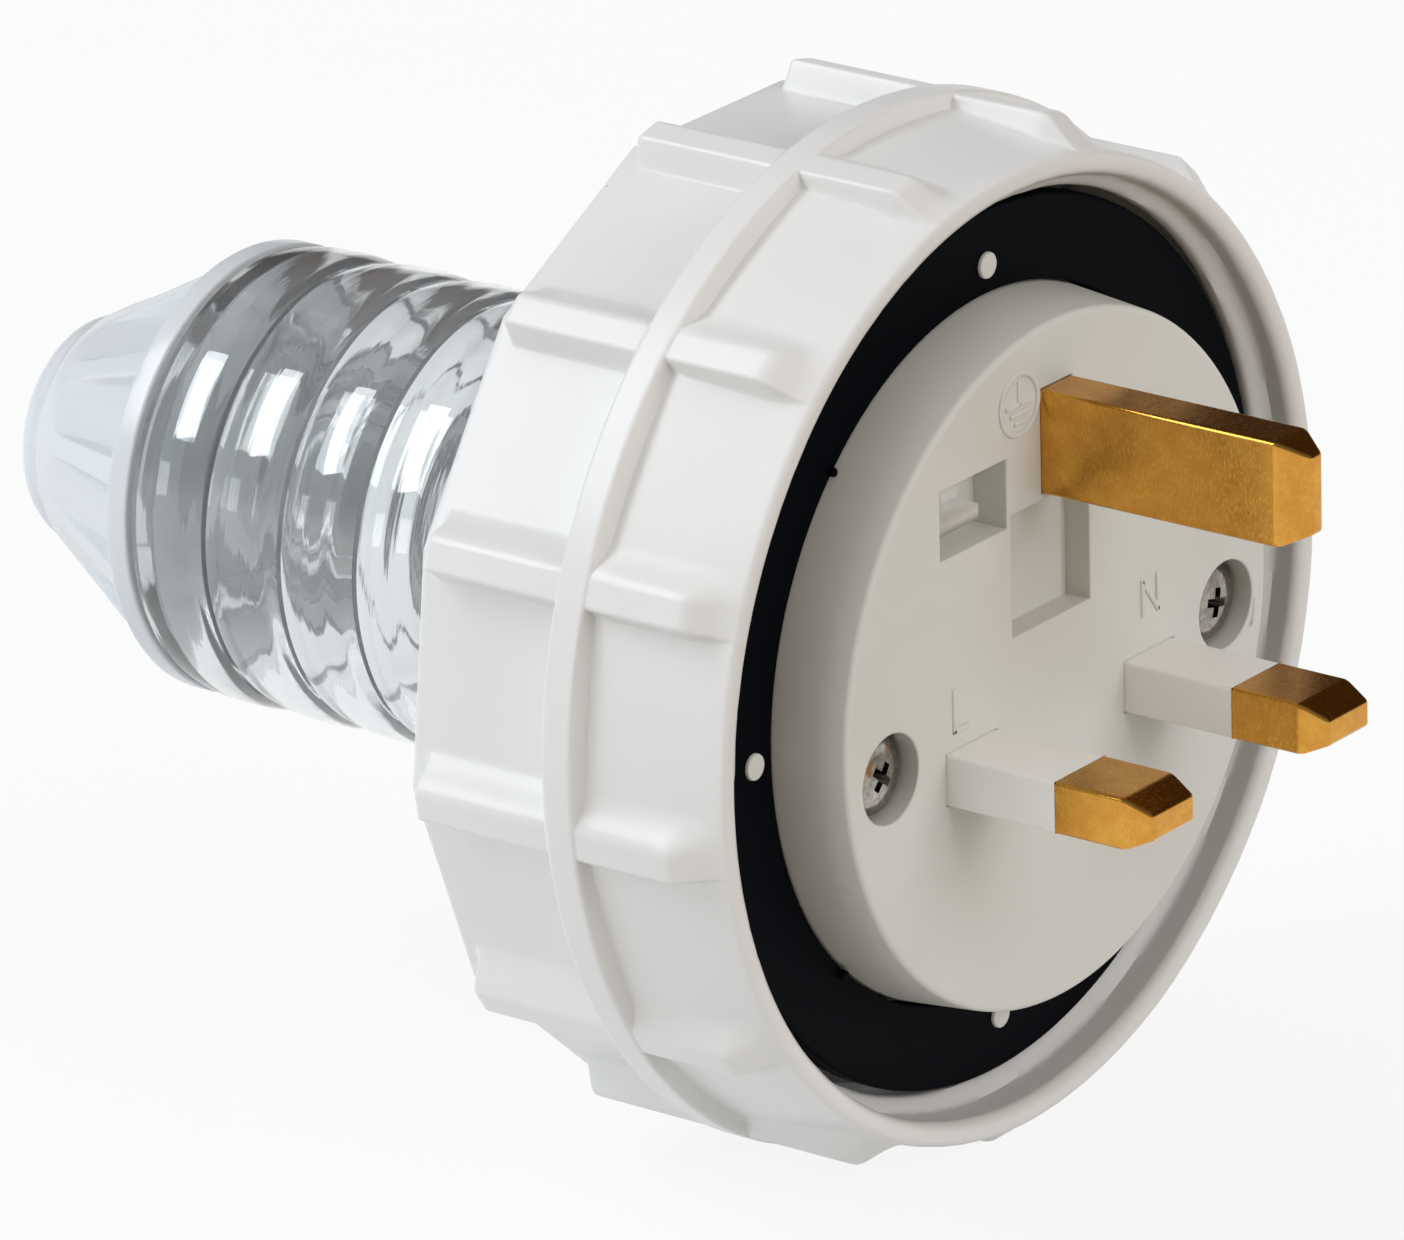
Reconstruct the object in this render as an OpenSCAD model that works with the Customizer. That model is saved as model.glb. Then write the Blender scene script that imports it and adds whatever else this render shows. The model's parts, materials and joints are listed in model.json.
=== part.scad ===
// Weatherproof three-pin mains plug: a pin carrier and a clear rear housing screwed together,
// a loose screwed locking ring round them, and a compression gland for the cable at the back.
// The plug axis is modelled along local z, pins towards +z, and laid level with the pins
// towards -Y and the earth pin up. The origin is on the axis, in the carrier's front face.

/* [Pins] */
// Distance between the centres of the live and neutral pins
pin_pitch = 22.23; // [20:0.01:24]
// Height of the earth pin's centre above the line of the other two
earth_rise = 22.23; // [20:0.01:24]
// How far the live and neutral pins lie below the plug axis
pin_drop = 4.75; // [3:0.05:6]
// Earth pin, sideways
earth_w = 4.0; // [3:0.1:5]
// Earth pin, up and down
earth_h = 8.0; // [6:0.1:9]
// Earth pin, length in front of the face
earth_len = 22.73; // [18:0.01:26]
// Live and neutral pins, sideways
line_w = 6.35; // [5:0.05:7]
// Live and neutral pins, up and down
line_t = 4.0; // [3:0.1:5]
// Live and neutral pins, length in front of the face
line_len = 17.7; // [15:0.1:20]
// Length of the insulating sleeve in front of the face
sleeve_len = 9.5; // [6:0.1:10.5]
// Wall of the insulating sleeve
sleeve_wall = 0.8; // [0.5:0.05:1]
// Length of the sloped tip of the live and neutral pins
line_tip = 2.2; // [1:0.1:5]
// Length of the sloped tip of the earth pin
earth_tip = 2.2; // [1:0.1:4]
// How far the tip's sides slope in
tip_in = 1.0; // [0.4:0.05:1.4]

/* [Carrier] */
// Radius of the round front at its foot
base_r = 27.0; // [26:0.1:28]
// How much smaller the round front is at its face
face_draft = 0.8; // [0.4:0.1:1.2]
// Height of the face in front of the gasket
carrier_h = 6.1; // [4.5:0.1:9]
// Rounding of the face's edge
face_round = 0.7; // [0.4:0.1:2]
// Thickness of the front wall
carrier_wall = 4.0; // [3.2:0.1:5]
// Width of the flange behind the gasket, round the foot
flange_w = 6.2; // [5.6:0.1:6.8]
// Thickness of that flange
flange_t = 3.0; // [2:0.1:4]
// Length of the skirt that enters the housing
skirt_len = 5.0; // [3:0.1:7]
// Wall of the skirt
skirt_wall = 2.2; // [1.6:0.1:3]
// Depth of the pads and pin bosses behind the front wall
pad_h = 4.0; // [3:0.1:5]
// Wall round a pin in its boss
boss_wall = 1.6; // [1:0.1:2]
// Square recess beside the earth pin: width
recess_w = 9.7; // [8:0.1:10]
// Square recess: height
recess_h = 9.4; // [8:0.1:9.6]
// Square recess: depth
recess_d = 2.2; // [1:0.1:2.6]
// Square recess: its middle, sideways from the axis
recess_x = -1.0; // [-1.5:0.1:1]
// Square recess: gap below the earth pin
recess_gap = 0.5; // [0.3:0.1:1]
// Latch window: width
window_w = 8.2; // [6:0.1:8.4]
// Latch window: height
window_h = 5.3; // [4:0.1:5.6]
// Latch window: depth
window_d = 3.0; // [1:0.1:3.4]
// Latch window: its middle, sideways from the axis
window_x = -10.4; // [-11.5:0.1:-10.2]
// Latch window: its middle, above the axis
window_y = 14.8; // [13:0.1:16]
// Height of the latch's bar in the window
latch_bar = 1.2; // [0.8:0.1:1.6]
// Length of the latch's bar from the side of the window
latch_len = 5.6; // [4:0.1:6]
// Width of the web above the latch's bar
latch_web = 2.6; // [1.5:0.1:3.5]
// How far the latch's bar lies below the face
latch_set = 0.7; // [0.3:0.1:1]
// How far the web lies below the face
web_set = 1.8; // [1.2:0.1:2.4]
// Diameter of the locating pips that pass through the gasket
pip_d = 2.0; // [1.4:0.1:2.6]
// Number of locating pips
pip_count = 4; // [3:1:6]
// How far the pips stand above the gasket
pip_proud = 0.3; // [0.1:0.1:1]

/* [Gasket] */
// Thickness of the face gasket
gasket_t = 2.0; // [1:0.1:3]
// How far the face gasket stands out past the flange
gasket_lip = 0.3; // [0.1:0.1:0.7]
// Number of small nibs on the gasket round the foot of the carrier
nib_count = 4; // [2:1:8]
// Radius of a nib
nib_r = 0.35; // [0.2:0.05:0.8]
// Height of a nib above the gasket
nib_h = 0.5; // [0.3:0.1:2]
// Width of the seal in the housing's flange
seal_w = 1.9; // [1.2:0.1:2.2]
// Depth of that seal
seal_d = 1.5; // [1:0.1:2]

/* [Locking ring] */
// Length of the ring
ring_len = 28.3; // [26:0.1:34]
// How far the rim lies behind the carrier's face
ring_setback = 2.9; // [1:0.1:4]
// Height of the round rim above the panels
rim_rise = 0.9; // [0.5:0.1:1.5]
// Depth of the round rim
rim_t = 1.7; // [1:0.1:2.5]
// Room between the flange and the root of the ring's thread
thread_gap = 2.0; // [1.4:0.1:2.4]
// Wall outside the thread, at the flat panels
thread_wall = 1.1; // [0.9:0.1:1.6]
// Wall of the rear skirt at its panels
ring_wall = 2.4; // [1.8:0.1:3]
// Number of grip ribs
rib_count = 13; // [8:1:18]
// Height of the ribs above the panels
rib_h = 3.0; // [2.2:0.1:4]
// Width of a rib at its top
rib_top = 2.6; // [1.6:0.1:3.2]
// Width of a rib at its foot
rib_foot = 4.2; // [3.4:0.1:5]
// Length of the slope at a rib's front end
rib_slope = 3.0; // [1.5:0.1:5]
// How far the ribs end before the rear edge
rib_back_gap = 1.8; // [0.6:0.1:4]
// Height of the raised band above the panels
band_h = 3.2; // [2.4:0.1:4]
// Width of the raised band
band_w = 2.7; // [2:0.1:4]
// Middle of the band behind the rim
band_at = 13.2; // [11.5:0.1:15]
// Thickness of the flange inside the ring
stop_t = 3.0; // [2:0.1:4]

/* [Housing] */
// Thickness of the housing's front flange
housing_flange_t = 4.0; // [3.2:0.1:5]
// How far the flange stands out past the cup behind it
cup_step = 3.7; // [3.2:0.1:4]
// Length of the cup
cup_len = 15.4; // [13:0.1:20]
// Wall of the housing
housing_wall = 2.0; // [1.6:0.1:2.2]
// Length of the shoulder between cup and tube
shoulder_len = 7.0; // [6:0.1:10]
// Outer radius of the tube
tube_r = 17.6; // [17:0.1:18.5]
// Length of the whole plug behind the carrier's face
body_len = 91.95; // [86:0.05:98]
// Number of rounded bands along the tube
tube_bands = 5; // [3:1:6]
// Depth of the grooves between the bands
groove_d = 0.5; // [0.3:0.1:1.2]
// Wall of the screwed spout for the gland nut
spout_wall = 2.45; // [1.9:0.05:2.6]
// Length of the spout
spout_len = 7.0; // [6:0.1:8]
// Thickness of the tube's end wall
end_wall = 4.0; // [3:0.1:5]

/* [Gland] */
// Radius of the seal's hole for the cable
seal_bore_r = 4.8; // [4:0.1:5.2]
// Radius of the seal in its pocket
seal_r = 8.3; // [7.6:0.1:8.6]
// Thickness of the slip washer
washer_t = 1.2; // [0.8:0.1:1.6]
// Radius of the cable hole through the gland nut
cable_r = 5.5; // [5.2:0.1:6]
// How far the nut's collar lies inside the tube's outside
collar_step = 0.2; // [0:0.1:0.8]
// Length of the nut's collar
collar_len = 2.2; // [1.8:0.1:4]
// Step from the nut's collar to its cone
cone_step = 0.5; // [0.3:0.1:1]
// Length of the nut's cone
cone_len = 12.8; // [12:0.1:16]
// How far the narrow end of the nut's cone lies inside the spout's outside
nose_in = 1.1; // [0.4:0.1:1.4]
// Length of the rounded nose behind the cone
nose_len = 3.3; // [3:0.1:6]
// Number of sunk panels round the cone
flute_count = 12; // [8:1:16]
// Depth of the sunk panels at the collar
flute_d = 1.4; // [0.6:0.1:1.8]

/* [Terminals and fuse] */
// Terminal block, sideways
block_w = 8.0; // [7:0.1:8.4]
// Terminal block, up and down
block_h = 9.0; // [8:0.1:9.2]
// Terminal block, front to back
block_d = 10.0; // [8:0.1:12]
// Radius of the wire hole through a terminal block
wire_r = 1.6; // [1.2:0.1:2]
// How far the earth terminal's middle lies below its pin's
block_in = 0.5; // [0:0.1:1]
// How far the neutral terminal's middle lies inward of its pin's
neutral_in = 1.5; // [0.8:0.1:1.6]
// Gap between the earth terminal and the live terminal
terminal_gap = 2.0; // [1:0.1:3]
// Thickness of the strip that the fuse clips are folded from
strip_t = 0.8; // [0.5:0.1:1]
// Length of the fuse
fuse_len = 25.4; // [24.8:0.1:26]
// Diameter of the fuse's caps
fuse_d = 6.35; // [6:0.05:6.6]
// Length of a fuse cap
cap_len = 5.5; // [5:0.1:6]
// Width of a fuse clip
clip_w = 4.6; // [4:0.1:5]
// How far the fuse lies inward of the live pin
fuse_in = 1.5; // [1:0.1:1.6]
// How far the lower cap reaches past its clip
fuse_drop = 0.6; // [0.2:0.1:1]
// Gap between the fuse clips and the live terminal
fuse_gap = 0.6; // [0.4:0.1:1]

/* [Screws and clamp] */
// Distance of the two body screws from the edge of the face
screw_edge = 5.2; // [5:0.1:5.6]
// How far the body screws lie below the axis
body_screw_drop = 2.4; // [0:0.1:4]
// Shank radius of the body screws
body_screw_r = 1.75; // [1.4:0.05:1.9]
// Head radius of the body screws
body_head_r = 3.0; // [2.6:0.1:3.1]
// Head height of the body screws
body_head_h = 2.6; // [1.4:0.1:3]
// Radius of the countersunk well for a body screw
well_r = 3.4; // [3.2:0.1:3.6]
// Length of the body screws' shanks
body_screw_len = 20.0; // [16:0.5:22]
// Shank radius of the terminal and clamp screws
small_screw_r = 1.5; // [1.2:0.05:1.7]
// Head radius of the terminal and clamp screws
small_head_r = 2.4; // [2:0.1:2.6]
// Head height of the terminal and clamp screws
small_head_h = 1.7; // [1.2:0.1:2]
// Length of those screws' shanks
small_screw_len = 7.5; // [6:0.1:7.6]
// Distance between the cord clamp's screws
clamp_pitch = 19.0; // [18:0.1:20]
// How far the cord clamp lies below the axis
clamp_drop = 15.6; // [15:0.1:16]
// Width of the cord clamp's bar
clamp_w = 6.4; // [5:0.1:6.6]
// Thickness of the cord clamp's bar
clamp_t = 3.2; // [2.4:0.1:4]
// Depth of the posts that carry the clamp, behind the front wall
clamp_post_h = 10.0; // [9:0.1:12]

/* [Fits] */
// Clearance between the ring and the body it turns on
ring_play = 0.3; // [0.2:0.05:0.5]
// Clearance round the gland nut's thread
nut_play = 0.35; // [0.25:0.05:0.5]
// Clearance between pieces that are pushed together
push_fit = 0.05; // [0.02:0.01:0.1]

/* [Hidden] */
$fn = 96;

// Colours
white_plastic = "#E6E5DF";
clear_plastic = [0.82, 0.86, 0.88, 0.45];
ceramic = "#F2EEE2";
brass = "#C2943B";
steel = "#B9BCBF";
black_rubber = "#101418";
pale_rubber = "#C9CAC6";

// How far a cutting shape runs past what it cuts
over = 1;
// How far a post, pip or tail runs into the piece that it grows from
sunk = 0.5;
// Gap between pieces that only lie against each other
slack = 0.1;
// Small chamfers and rounds on moulded edges
edge = 0.6;

// Stations along the axis, from the face backwards
gasket_front = -carrier_h;
gasket_back = gasket_front - gasket_t;
flange_back = gasket_back - flange_t;
skirt_back = flange_back - skirt_len;
housing_flange_back = flange_back - housing_flange_t;
cup_back = housing_flange_back - cup_len;
tube_front = cup_back - shoulder_len;
nut_front = nose_len + cone_len + collar_len - body_len;
tube_back = nut_front + 4 * slack;
tube_pitch = (tube_front - tube_back) / tube_bands;
spout_back = tube_back - spout_len;
wall_back = -carrier_wall;
pad_back = wall_back - pad_h;
block_back = pad_back - block_d;
rim_front = -ring_setback;
ring_back = rim_front - ring_len;
stop_front = housing_flange_back - ring_play;
stop_back = stop_front - stop_t;

// Radii that follow from the driving sizes
face_r = base_r - face_draft;
flange_r = base_r + flange_w;
gasket_r = flange_r + gasket_lip;
cup_r = flange_r - cup_step;
thread_r = flange_r + thread_gap;
panel_r = thread_r + thread_wall;
rim_r = panel_r + rim_rise;
rib_r = panel_r + rib_h;
band_r = panel_r + band_h;
cup_bore_r = cup_r - housing_wall;
skirt_r = cup_bore_r - push_fit;
cavity_r = skirt_r - skirt_wall;
gasket_bore_r = base_r + push_fit;
pip_ring_r = gasket_bore_r + pip_d / 2 + 1.2;
nib_ring_r = gasket_bore_r + nib_r;
stop_r = cup_r + ring_play + slack;
seal_mid_r = (cup_bore_r + flange_r) / 2;
neck_r = tube_r - groove_d;
tube_bore_r = neck_r - housing_wall;
pocket_r = seal_r + push_fit;
spout_r = pocket_r + spout_wall;
lip_r = seal_bore_r + 1.4;
nut_bore_r = spout_r + nut_play;
collar_r = tube_r - collar_step;
cone_r = collar_r - cone_step;
nose_r = spout_r - nose_in;

// Rounds of the shoulder, where it leaves the tube and where it meets the cup
shoulder_fillet = 2;
cup_round = 4;

// Outside of the tube, from its back to its front: one shallow curve for each band
band_steps = 10;
tube_outline = [
  for (i = [0 : tube_bands - 1], k = [0 : band_steps])
    let (t = k / band_steps)
      if (k < band_steps || i == tube_bands - 1)
        [tube_r - groove_d * pow(2 * t - 1, 2), tube_back + (i + t) * tube_pitch]
];

// Pin places
line_x = pin_pitch / 2;
line_y = -pin_drop;
earth_y = earth_rise - pin_drop;

// Inside of a sleeve, which is the waist of its pin
waist_w = line_w - 2 * sleeve_wall;
waist_t = line_t - 2 * sleeve_wall;

// Fuse: it lies upright beside the live pin's tail, its lower cap in the live clip
fuse_r = fuse_d / 2;
cap_wall = 0.4;
barrel_r = fuse_r - cap_wall / 2;
clip_r = fuse_r + push_fit;
fuse_z = pad_back - strip_t - clip_r;
fuse_x = fuse_in - line_x;
fuse_low_y = line_y - cap_len / 2 - fuse_drop;
load_clip_y = fuse_low_y + fuse_len - cap_len / 2;
rivet_r = 1.2;
// Width of the gap at the back of a clip, through which the fuse is pushed
clip_gap = 1.5 * fuse_r;
// Narrowest width of the strap from the load clip to the live terminal
strap_w = 2.8;

// Gland stations
lip_t = 1.5;
pocket_front = tube_back + end_wall - lip_t;
seal_proud = 0.6;
seal_back = spout_back - seal_proud;
seal_ease = 1.0;
washer_front = seal_back - slack;
washer_back = washer_front - washer_t;
washer_r = nut_bore_r - edge;
washer_bore_r = cable_r + slack;
nut_step = washer_back - slack;
collar_back = nut_front - collar_len;
cone_back = collar_back - cone_len;
nut_back = cone_back - nose_len;
nose_round = 2.6;
mouth_round = 1.0;

// Sunk panels of the nut: their share of the pitch, and the plain cone left behind them
flute_share = 0.7;
flute_end = 1.4;

// Screw places
body_screw_x = face_r - screw_edge;
body_screw_places = [for (s = [-1, 1]) [s * body_screw_x, -body_screw_drop]];
clamp_places = [for (s = [-1, 1]) [s * clamp_pitch / 2, -clamp_drop]];
well_back = wall_back - 0.2;
body_post_r = well_r + 0.9;
clamp_post_r = small_head_r + 0.8;
clamp_front = wall_back - clamp_post_h;
clamp_back = clamp_front - clamp_t;
live_block_front = pad_back - strip_t;
earth_block_y = earth_y - block_in;
live_block_x = fuse_x + clip_r + strip_t + fuse_gap + block_w / 2;
live_block_y = earth_block_y - block_h - terminal_gap;
terminal_places = [
  [0, earth_block_y, block_back],
  [line_x - neutral_in, line_y, block_back],
  [live_block_x, live_block_y, live_block_front - block_d]
];

// Driver slots: width of a slot, and how much of a head is left under it
slot_w = 0.8;
slot_floor = 0.45;

// Points along an arc in a profile, from angle a to angle b
function arc(cr, cz, r, a, b, steps = 6) =
  [for (i = [0 : steps]) let (t = a + (b - a) * i / steps) [cr + r * cos(t), cz + r * sin(t)]];

// Corners of a regular outline whose flats lie at distance r, one corner at angle 270
function flats(r, count) =
  [for (i = [0 : count - 1]) let (t = 270 + 360 * i / count) r / cos(180 / count) * [cos(t), sin(t)]];

// Outline of a bar that ends in a sloped tip, in width and station
function tipped(w, from, to, tip) =
  [[-w / 2, from], [w / 2, from], [w / 2, to - tip], [w / 2 - tip_in, to], [tip_in - w / 2, to],
   [-w / 2, to - tip]];

// Lays the plug axis level: pins towards -Y, earth pin up
module place() {
  rotate([90, 0, 0]) children();
}

// A solid of revolution from a profile of radius and station
module turned(profile) {
  rotate_extrude() polygon(profile);
}

// A straight round hole or post from one station to another
module rod(r, from, to) {
  translate([0, 0, min(from, to)]) cylinder(r = r, h = abs(to - from));
}

// A flat ring between two stations
module washer(r, bore_r, from, to) {
  difference() {
    rod(r, from, to);
    rod(bore_r, max(from, to) + over, min(from, to) - over);
  }
}

// A box centred on x and y, from one station to another
module bar(w, h, from, to) {
  translate([-w / 2, -h / 2, min(from, to)]) cube([w, h, abs(to - from)]);
}

// Copies spread evenly round the axis, the first at angle start
module round_about(count, start = 0) {
  for (i = [0 : count - 1]) rotate([0, 0, start + 360 * i / count]) children();
}

// A pin blade with its four sides sloped in at the tip
module blade(w, h, from, to, tip) {
  intersection() {
    rotate([90, 0, 0]) linear_extrude(h, center = true) polygon(tipped(w, from, to, tip));
    rotate([90, 0, 90]) linear_extrude(w, center = true) polygon(tipped(h, from, to, tip));
  }
}

// A terminal block behind a pad: wire hole across it and a screw hole from behind
module block(front) {
  back = front - block_d;
  difference() {
    bar(block_w, block_h, front, back);
    translate([0, 0, (front + back) / 2]) rotate([0, 90, 0]) rod(wire_r, -block_w, block_w);
    rod(small_screw_r + push_fit, back - over, back + small_screw_len + sunk);
  }
}

// A round-headed screw pointing to +z, its head behind the seat
module small_screw(seat) {
  top = seat - small_head_h;
  difference() {
    union() {
      rod(small_screw_r, seat, seat + small_screw_len);
      turned([[0, seat], [small_head_r, seat], [small_head_r, seat - small_head_h / 2],
              [small_head_r - edge, top], [0, top]]);
    }
    bar(slot_w, 3 * small_head_r, top - over, seat - small_head_h * slot_floor);
  }
}

// One grip rib, drawn pointing along +x, with a sloped front end and leaning sides
module grip_rib() {
  foot = panel_r - edge;
  back = ring_back + rib_back_gap;
  front = rim_front - sunk;
  rise = [[foot, back], [rib_r - edge, back], [rib_r, back + edge], [rib_r, front - rib_slope],
          [rim_r, front], [foot, front]];
  across = [[foot, -rib_foot / 2], [panel_r, -rib_foot / 2], [rib_r, -rib_top / 2], [rib_r, rib_top / 2],
            [panel_r, rib_foot / 2], [foot, rib_foot / 2]];
  intersection() {
    rotate([90, 0, 0]) linear_extrude(rib_foot, center = true) polygon(rise);
    translate([0, 0, ring_back]) linear_extrude(ring_len) polygon(across);
  }
}

// Screwed ring: flat panels between the ribs, a round rim, a raised band and a stop flange inside
module locking_ring() color(white_plastic) place() {
  band_back = rim_front - band_at - band_w / 2;
  band_front = rim_front - band_at + band_w / 2;
  skirt_bore_r = panel_r - ring_wall;
  difference() {
    union() {
      translate([0, 0, ring_back]) linear_extrude(ring_len - rim_t / 2) polygon(flats(panel_r, rib_count));
      turned(concat([[0, rim_front - rim_t], [rim_r, rim_front - rim_t]],
                    arc(rim_r - edge, rim_front - edge, edge, 0, 90), [[0, rim_front]]));
      turned([[0, band_back], [band_r - edge, band_back], [band_r, band_back + edge],
              [band_r, band_front - edge], [band_r - edge, band_front], [0, band_front]]);
      round_about(rib_count, 270) grip_rib();
    }
    turned([[0, ring_back - over], [skirt_bore_r, ring_back - over], [skirt_bore_r, stop_back],
            [stop_r, stop_back], [stop_r, stop_front], [thread_r, stop_front], [thread_r, rim_front - edge],
            [thread_r + edge, rim_front], [thread_r + edge, rim_front + over], [0, rim_front + over]]);
  }
}

// Clear housing: front flange, cup, shoulder, banded tube and screwed spout
module rear_housing() color(clear_plastic) place() {
  screw_end = well_back - body_screw_len - over;
  difference() {
    turned(concat([[0, spout_back], [spout_r - edge, spout_back], [spout_r, spout_back + edge],
                   [spout_r, tube_back]],
                  tube_outline,
                  arc(neck_r + shoulder_fillet, tube_front, shoulder_fillet, 180, 135, 3),
                  arc(cup_r - cup_round, cup_back + cup_round, cup_round, 315, 360, 4),
                  [[cup_r, housing_flange_back], [flange_r, housing_flange_back], [flange_r, flange_back],
                   [0, flange_back]]));
    difference() {
      turned([[0, flange_back + over], [0, tube_back + end_wall], [tube_bore_r, tube_back + end_wall],
              [tube_bore_r, tube_front + housing_wall], [cup_bore_r, cup_back + cup_round],
              [cup_bore_r, flange_back + over]]);
      for (p = body_screw_places) translate(p) rod(body_post_r, skirt_back, tube_front);
    }
    for (p = body_screw_places) translate(p) rod(body_screw_r + push_fit, flange_back, screw_end);
    rod(lip_r, spout_back, tube_front);
    rod(pocket_r, spout_back - over, pocket_front);
    washer(seal_mid_r + seal_w / 2 + push_fit, seal_mid_r - seal_w / 2 - push_fit,
           flange_back + over, flange_back - seal_d);
  }
}

module housing_seal() color(black_rubber) place() {
  washer(seal_mid_r + seal_w / 2, seal_mid_r - seal_w / 2, flange_back, flange_back - seal_d);
}

// The round front, flange and skirt, hollow from behind
module carrier_shell() {
  difference() {
    turned(concat([[0, skirt_back], [skirt_r, skirt_back], [skirt_r, flange_back], [flange_r, flange_back],
                   [flange_r, gasket_back], [base_r, gasket_back]],
                  arc(face_r - face_round, -face_round, face_round, 0, 90), [[0, 0]]));
    rod(cavity_r, skirt_back - over, wall_back);
  }
}

// Bosses, pads and posts on the back of the front wall
module carrier_inside() {
  front = wall_back + sunk;
  for (s = [-1, 1]) translate([s * line_x, line_y])
    bar(line_w + 2 * boss_wall, line_t + 2 * boss_wall, front, pad_back);
  translate([0, earth_y]) bar(earth_w + 2 * boss_wall, earth_h + 2 * boss_wall, front, pad_back);
  translate([fuse_x, load_clip_y]) bar(2 * clip_r, clip_w, front, pad_back);
  translate([live_block_x, live_block_y]) bar(block_w, block_h, front, pad_back);
  for (p = body_screw_places) translate(p) rod(body_post_r, front, skirt_back);
  for (p = clamp_places) translate(p) rod(clamp_post_r, front, clamp_front);
}

// The angled latch in the window: a bar from its side, and a deeper web above the bar
module latch() {
  side = window_x - window_w / 2;
  floor_z = -window_d - sunk;
  translate([side + latch_len / 2, window_y - latch_bar / 2]) bar(latch_len, latch_bar, -latch_set, floor_z);
  translate([side + latch_web / 2, window_y + window_h / 4])
    bar(latch_web, window_h / 2, -web_set, floor_z);
}

module pin_carrier() color(white_plastic) place() {
  recess_top = earth_y - earth_h / 2 - recess_gap;
  difference() {
    union() {
      carrier_shell();
      carrier_inside();
      round_about(pip_count, 90)
        translate([pip_ring_r, 0]) rod(pip_d / 2, gasket_back - sunk, gasket_front + pip_proud);
    }
    for (s = [-1, 1]) translate([s * line_x, line_y]) bar(line_w, line_t, over, pad_back - over);
    translate([0, earth_y]) bar(earth_w, earth_h, over, pad_back - over);
    translate([recess_x, recess_top - recess_h / 2]) bar(recess_w, recess_h, over, -recess_d);
    translate([window_x, window_y]) bar(window_w, window_h, over, -window_d);
    for (p = body_screw_places) translate(p) {
      rod(well_r, over, well_back);
      rod(body_screw_r + 4 * push_fit, over, skirt_back - over);
    }
    for (p = clamp_places) translate(p)
      rod(small_screw_r + push_fit, clamp_front - over, clamp_back + small_screw_len + sunk);
  }
  latch();
}

module face_gasket() color(black_rubber) place() {
  difference() {
    washer(gasket_r, gasket_bore_r, gasket_front, gasket_back);
    round_about(pip_count, 90)
      translate([pip_ring_r, 0]) rod(pip_d / 2 + push_fit, gasket_front + over, gasket_back - over);
  }
  round_about(nib_count, 180 / nib_count)
    translate([nib_ring_r, 0]) rod(nib_r, gasket_front - sunk, gasket_front + nib_h);
}

// A live or neutral pin: bare tip, thin waist inside its sleeve
module line_pin() {
  blade(line_w, line_t, sleeve_len, line_len, line_tip);
  bar(waist_w, waist_t, sleeve_len + sunk, pad_back);
}

module line_sleeve() {
  difference() {
    bar(line_w, line_t, pad_back, sleeve_len);
    bar(waist_w, waist_t, pad_back - over, sleeve_len + over);
  }
}

module earth_pin() color(brass) place() translate([0, earth_y]) {
  blade(earth_w, earth_h, pad_back - sunk, earth_len, earth_tip);
  translate([0, -block_in]) block(pad_back);
}

module neutral_pin() color(brass) place() translate([line_x, line_y]) {
  line_pin();
  translate([-neutral_in, 0]) block(pad_back);
}

module live_pin() color(brass) place() translate([-line_x, line_y]) {
  line_pin();
  rod(rivet_r, pad_back + sunk, live_block_front);
}

module live_pin_sleeve() color(white_plastic) place() translate([-line_x, line_y]) line_sleeve();

module neutral_pin_sleeve() color(white_plastic) place() translate([line_x, line_y]) line_sleeve();

// A sprung clip round a fuse cap, open to the back, on a flat foot
module fuse_clip() {
  difference() {
    union() {
      bar(2 * clip_r, clip_w, pad_back, live_block_front);
      translate([0, 0, fuse_z]) rotate([90, 0, 0]) rod(clip_r + strip_t, -clip_w / 2, clip_w / 2);
    }
    translate([0, 0, fuse_z]) rotate([90, 0, 0]) rod(clip_r, -clip_w, clip_w);
    bar(4 * clip_r, 2 * clip_w, pad_back, pad_back + over);
    bar(clip_gap, 2 * clip_w, fuse_z, fuse_z - 2 * clip_r);
  }
}

module live_fuse_clip() color(brass) place() translate([fuse_x, line_y]) {
  difference() {
    fuse_clip();
    translate([-fuse_in, 0]) rod(rivet_r + push_fit, pad_back + over, live_block_front - slack);
  }
}

// The other clip, with a strap across to the live terminal
module load_fuse_clip() color(brass) place() {
  block_left = live_block_x - block_w / 2;
  block_right = live_block_x + block_w / 2;
  block_low = live_block_y - block_h / 2;
  block_high = live_block_y + block_h / 2;
  clip_side = fuse_x + clip_r;
  clip_high = load_clip_y + clip_w / 2;
  translate([fuse_x, load_clip_y]) fuse_clip();
  translate([0, 0, live_block_front]) linear_extrude(strip_t)
    polygon([[clip_side - strap_w / 2, clip_high], [clip_side - strap_w / 2, block_high - strap_w],
             [block_left, block_low], [block_right, block_low], [block_right, block_high],
             [block_left, block_high], [clip_side + strap_w / 2, clip_high]]);
}

module live_terminal() color(brass) place() translate([live_block_x, live_block_y]) block(live_block_front);

// Turns a rod drawn along z so that it lies along the fuse, measured from the fuse's lower end
module along_fuse() {
  translate([fuse_x, fuse_low_y, fuse_z]) rotate([-90, 0, 0]) children();
}

module fuse_barrel() color(ceramic) place() along_fuse() rod(barrel_r, cap_wall, fuse_len - cap_wall);

module fuse_caps() color(steel) place() along_fuse() {
  difference() {
    rod(fuse_r, 0, fuse_len);
    rod(barrel_r + push_fit, cap_wall, fuse_len - cap_wall);
    rod(fuse_r + over, cap_len, fuse_len - cap_len);
  }
}

module terminal_screws() color(steel) place() {
  for (p = terminal_places) translate([p[0], p[1]]) small_screw(p[2]);
}

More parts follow.
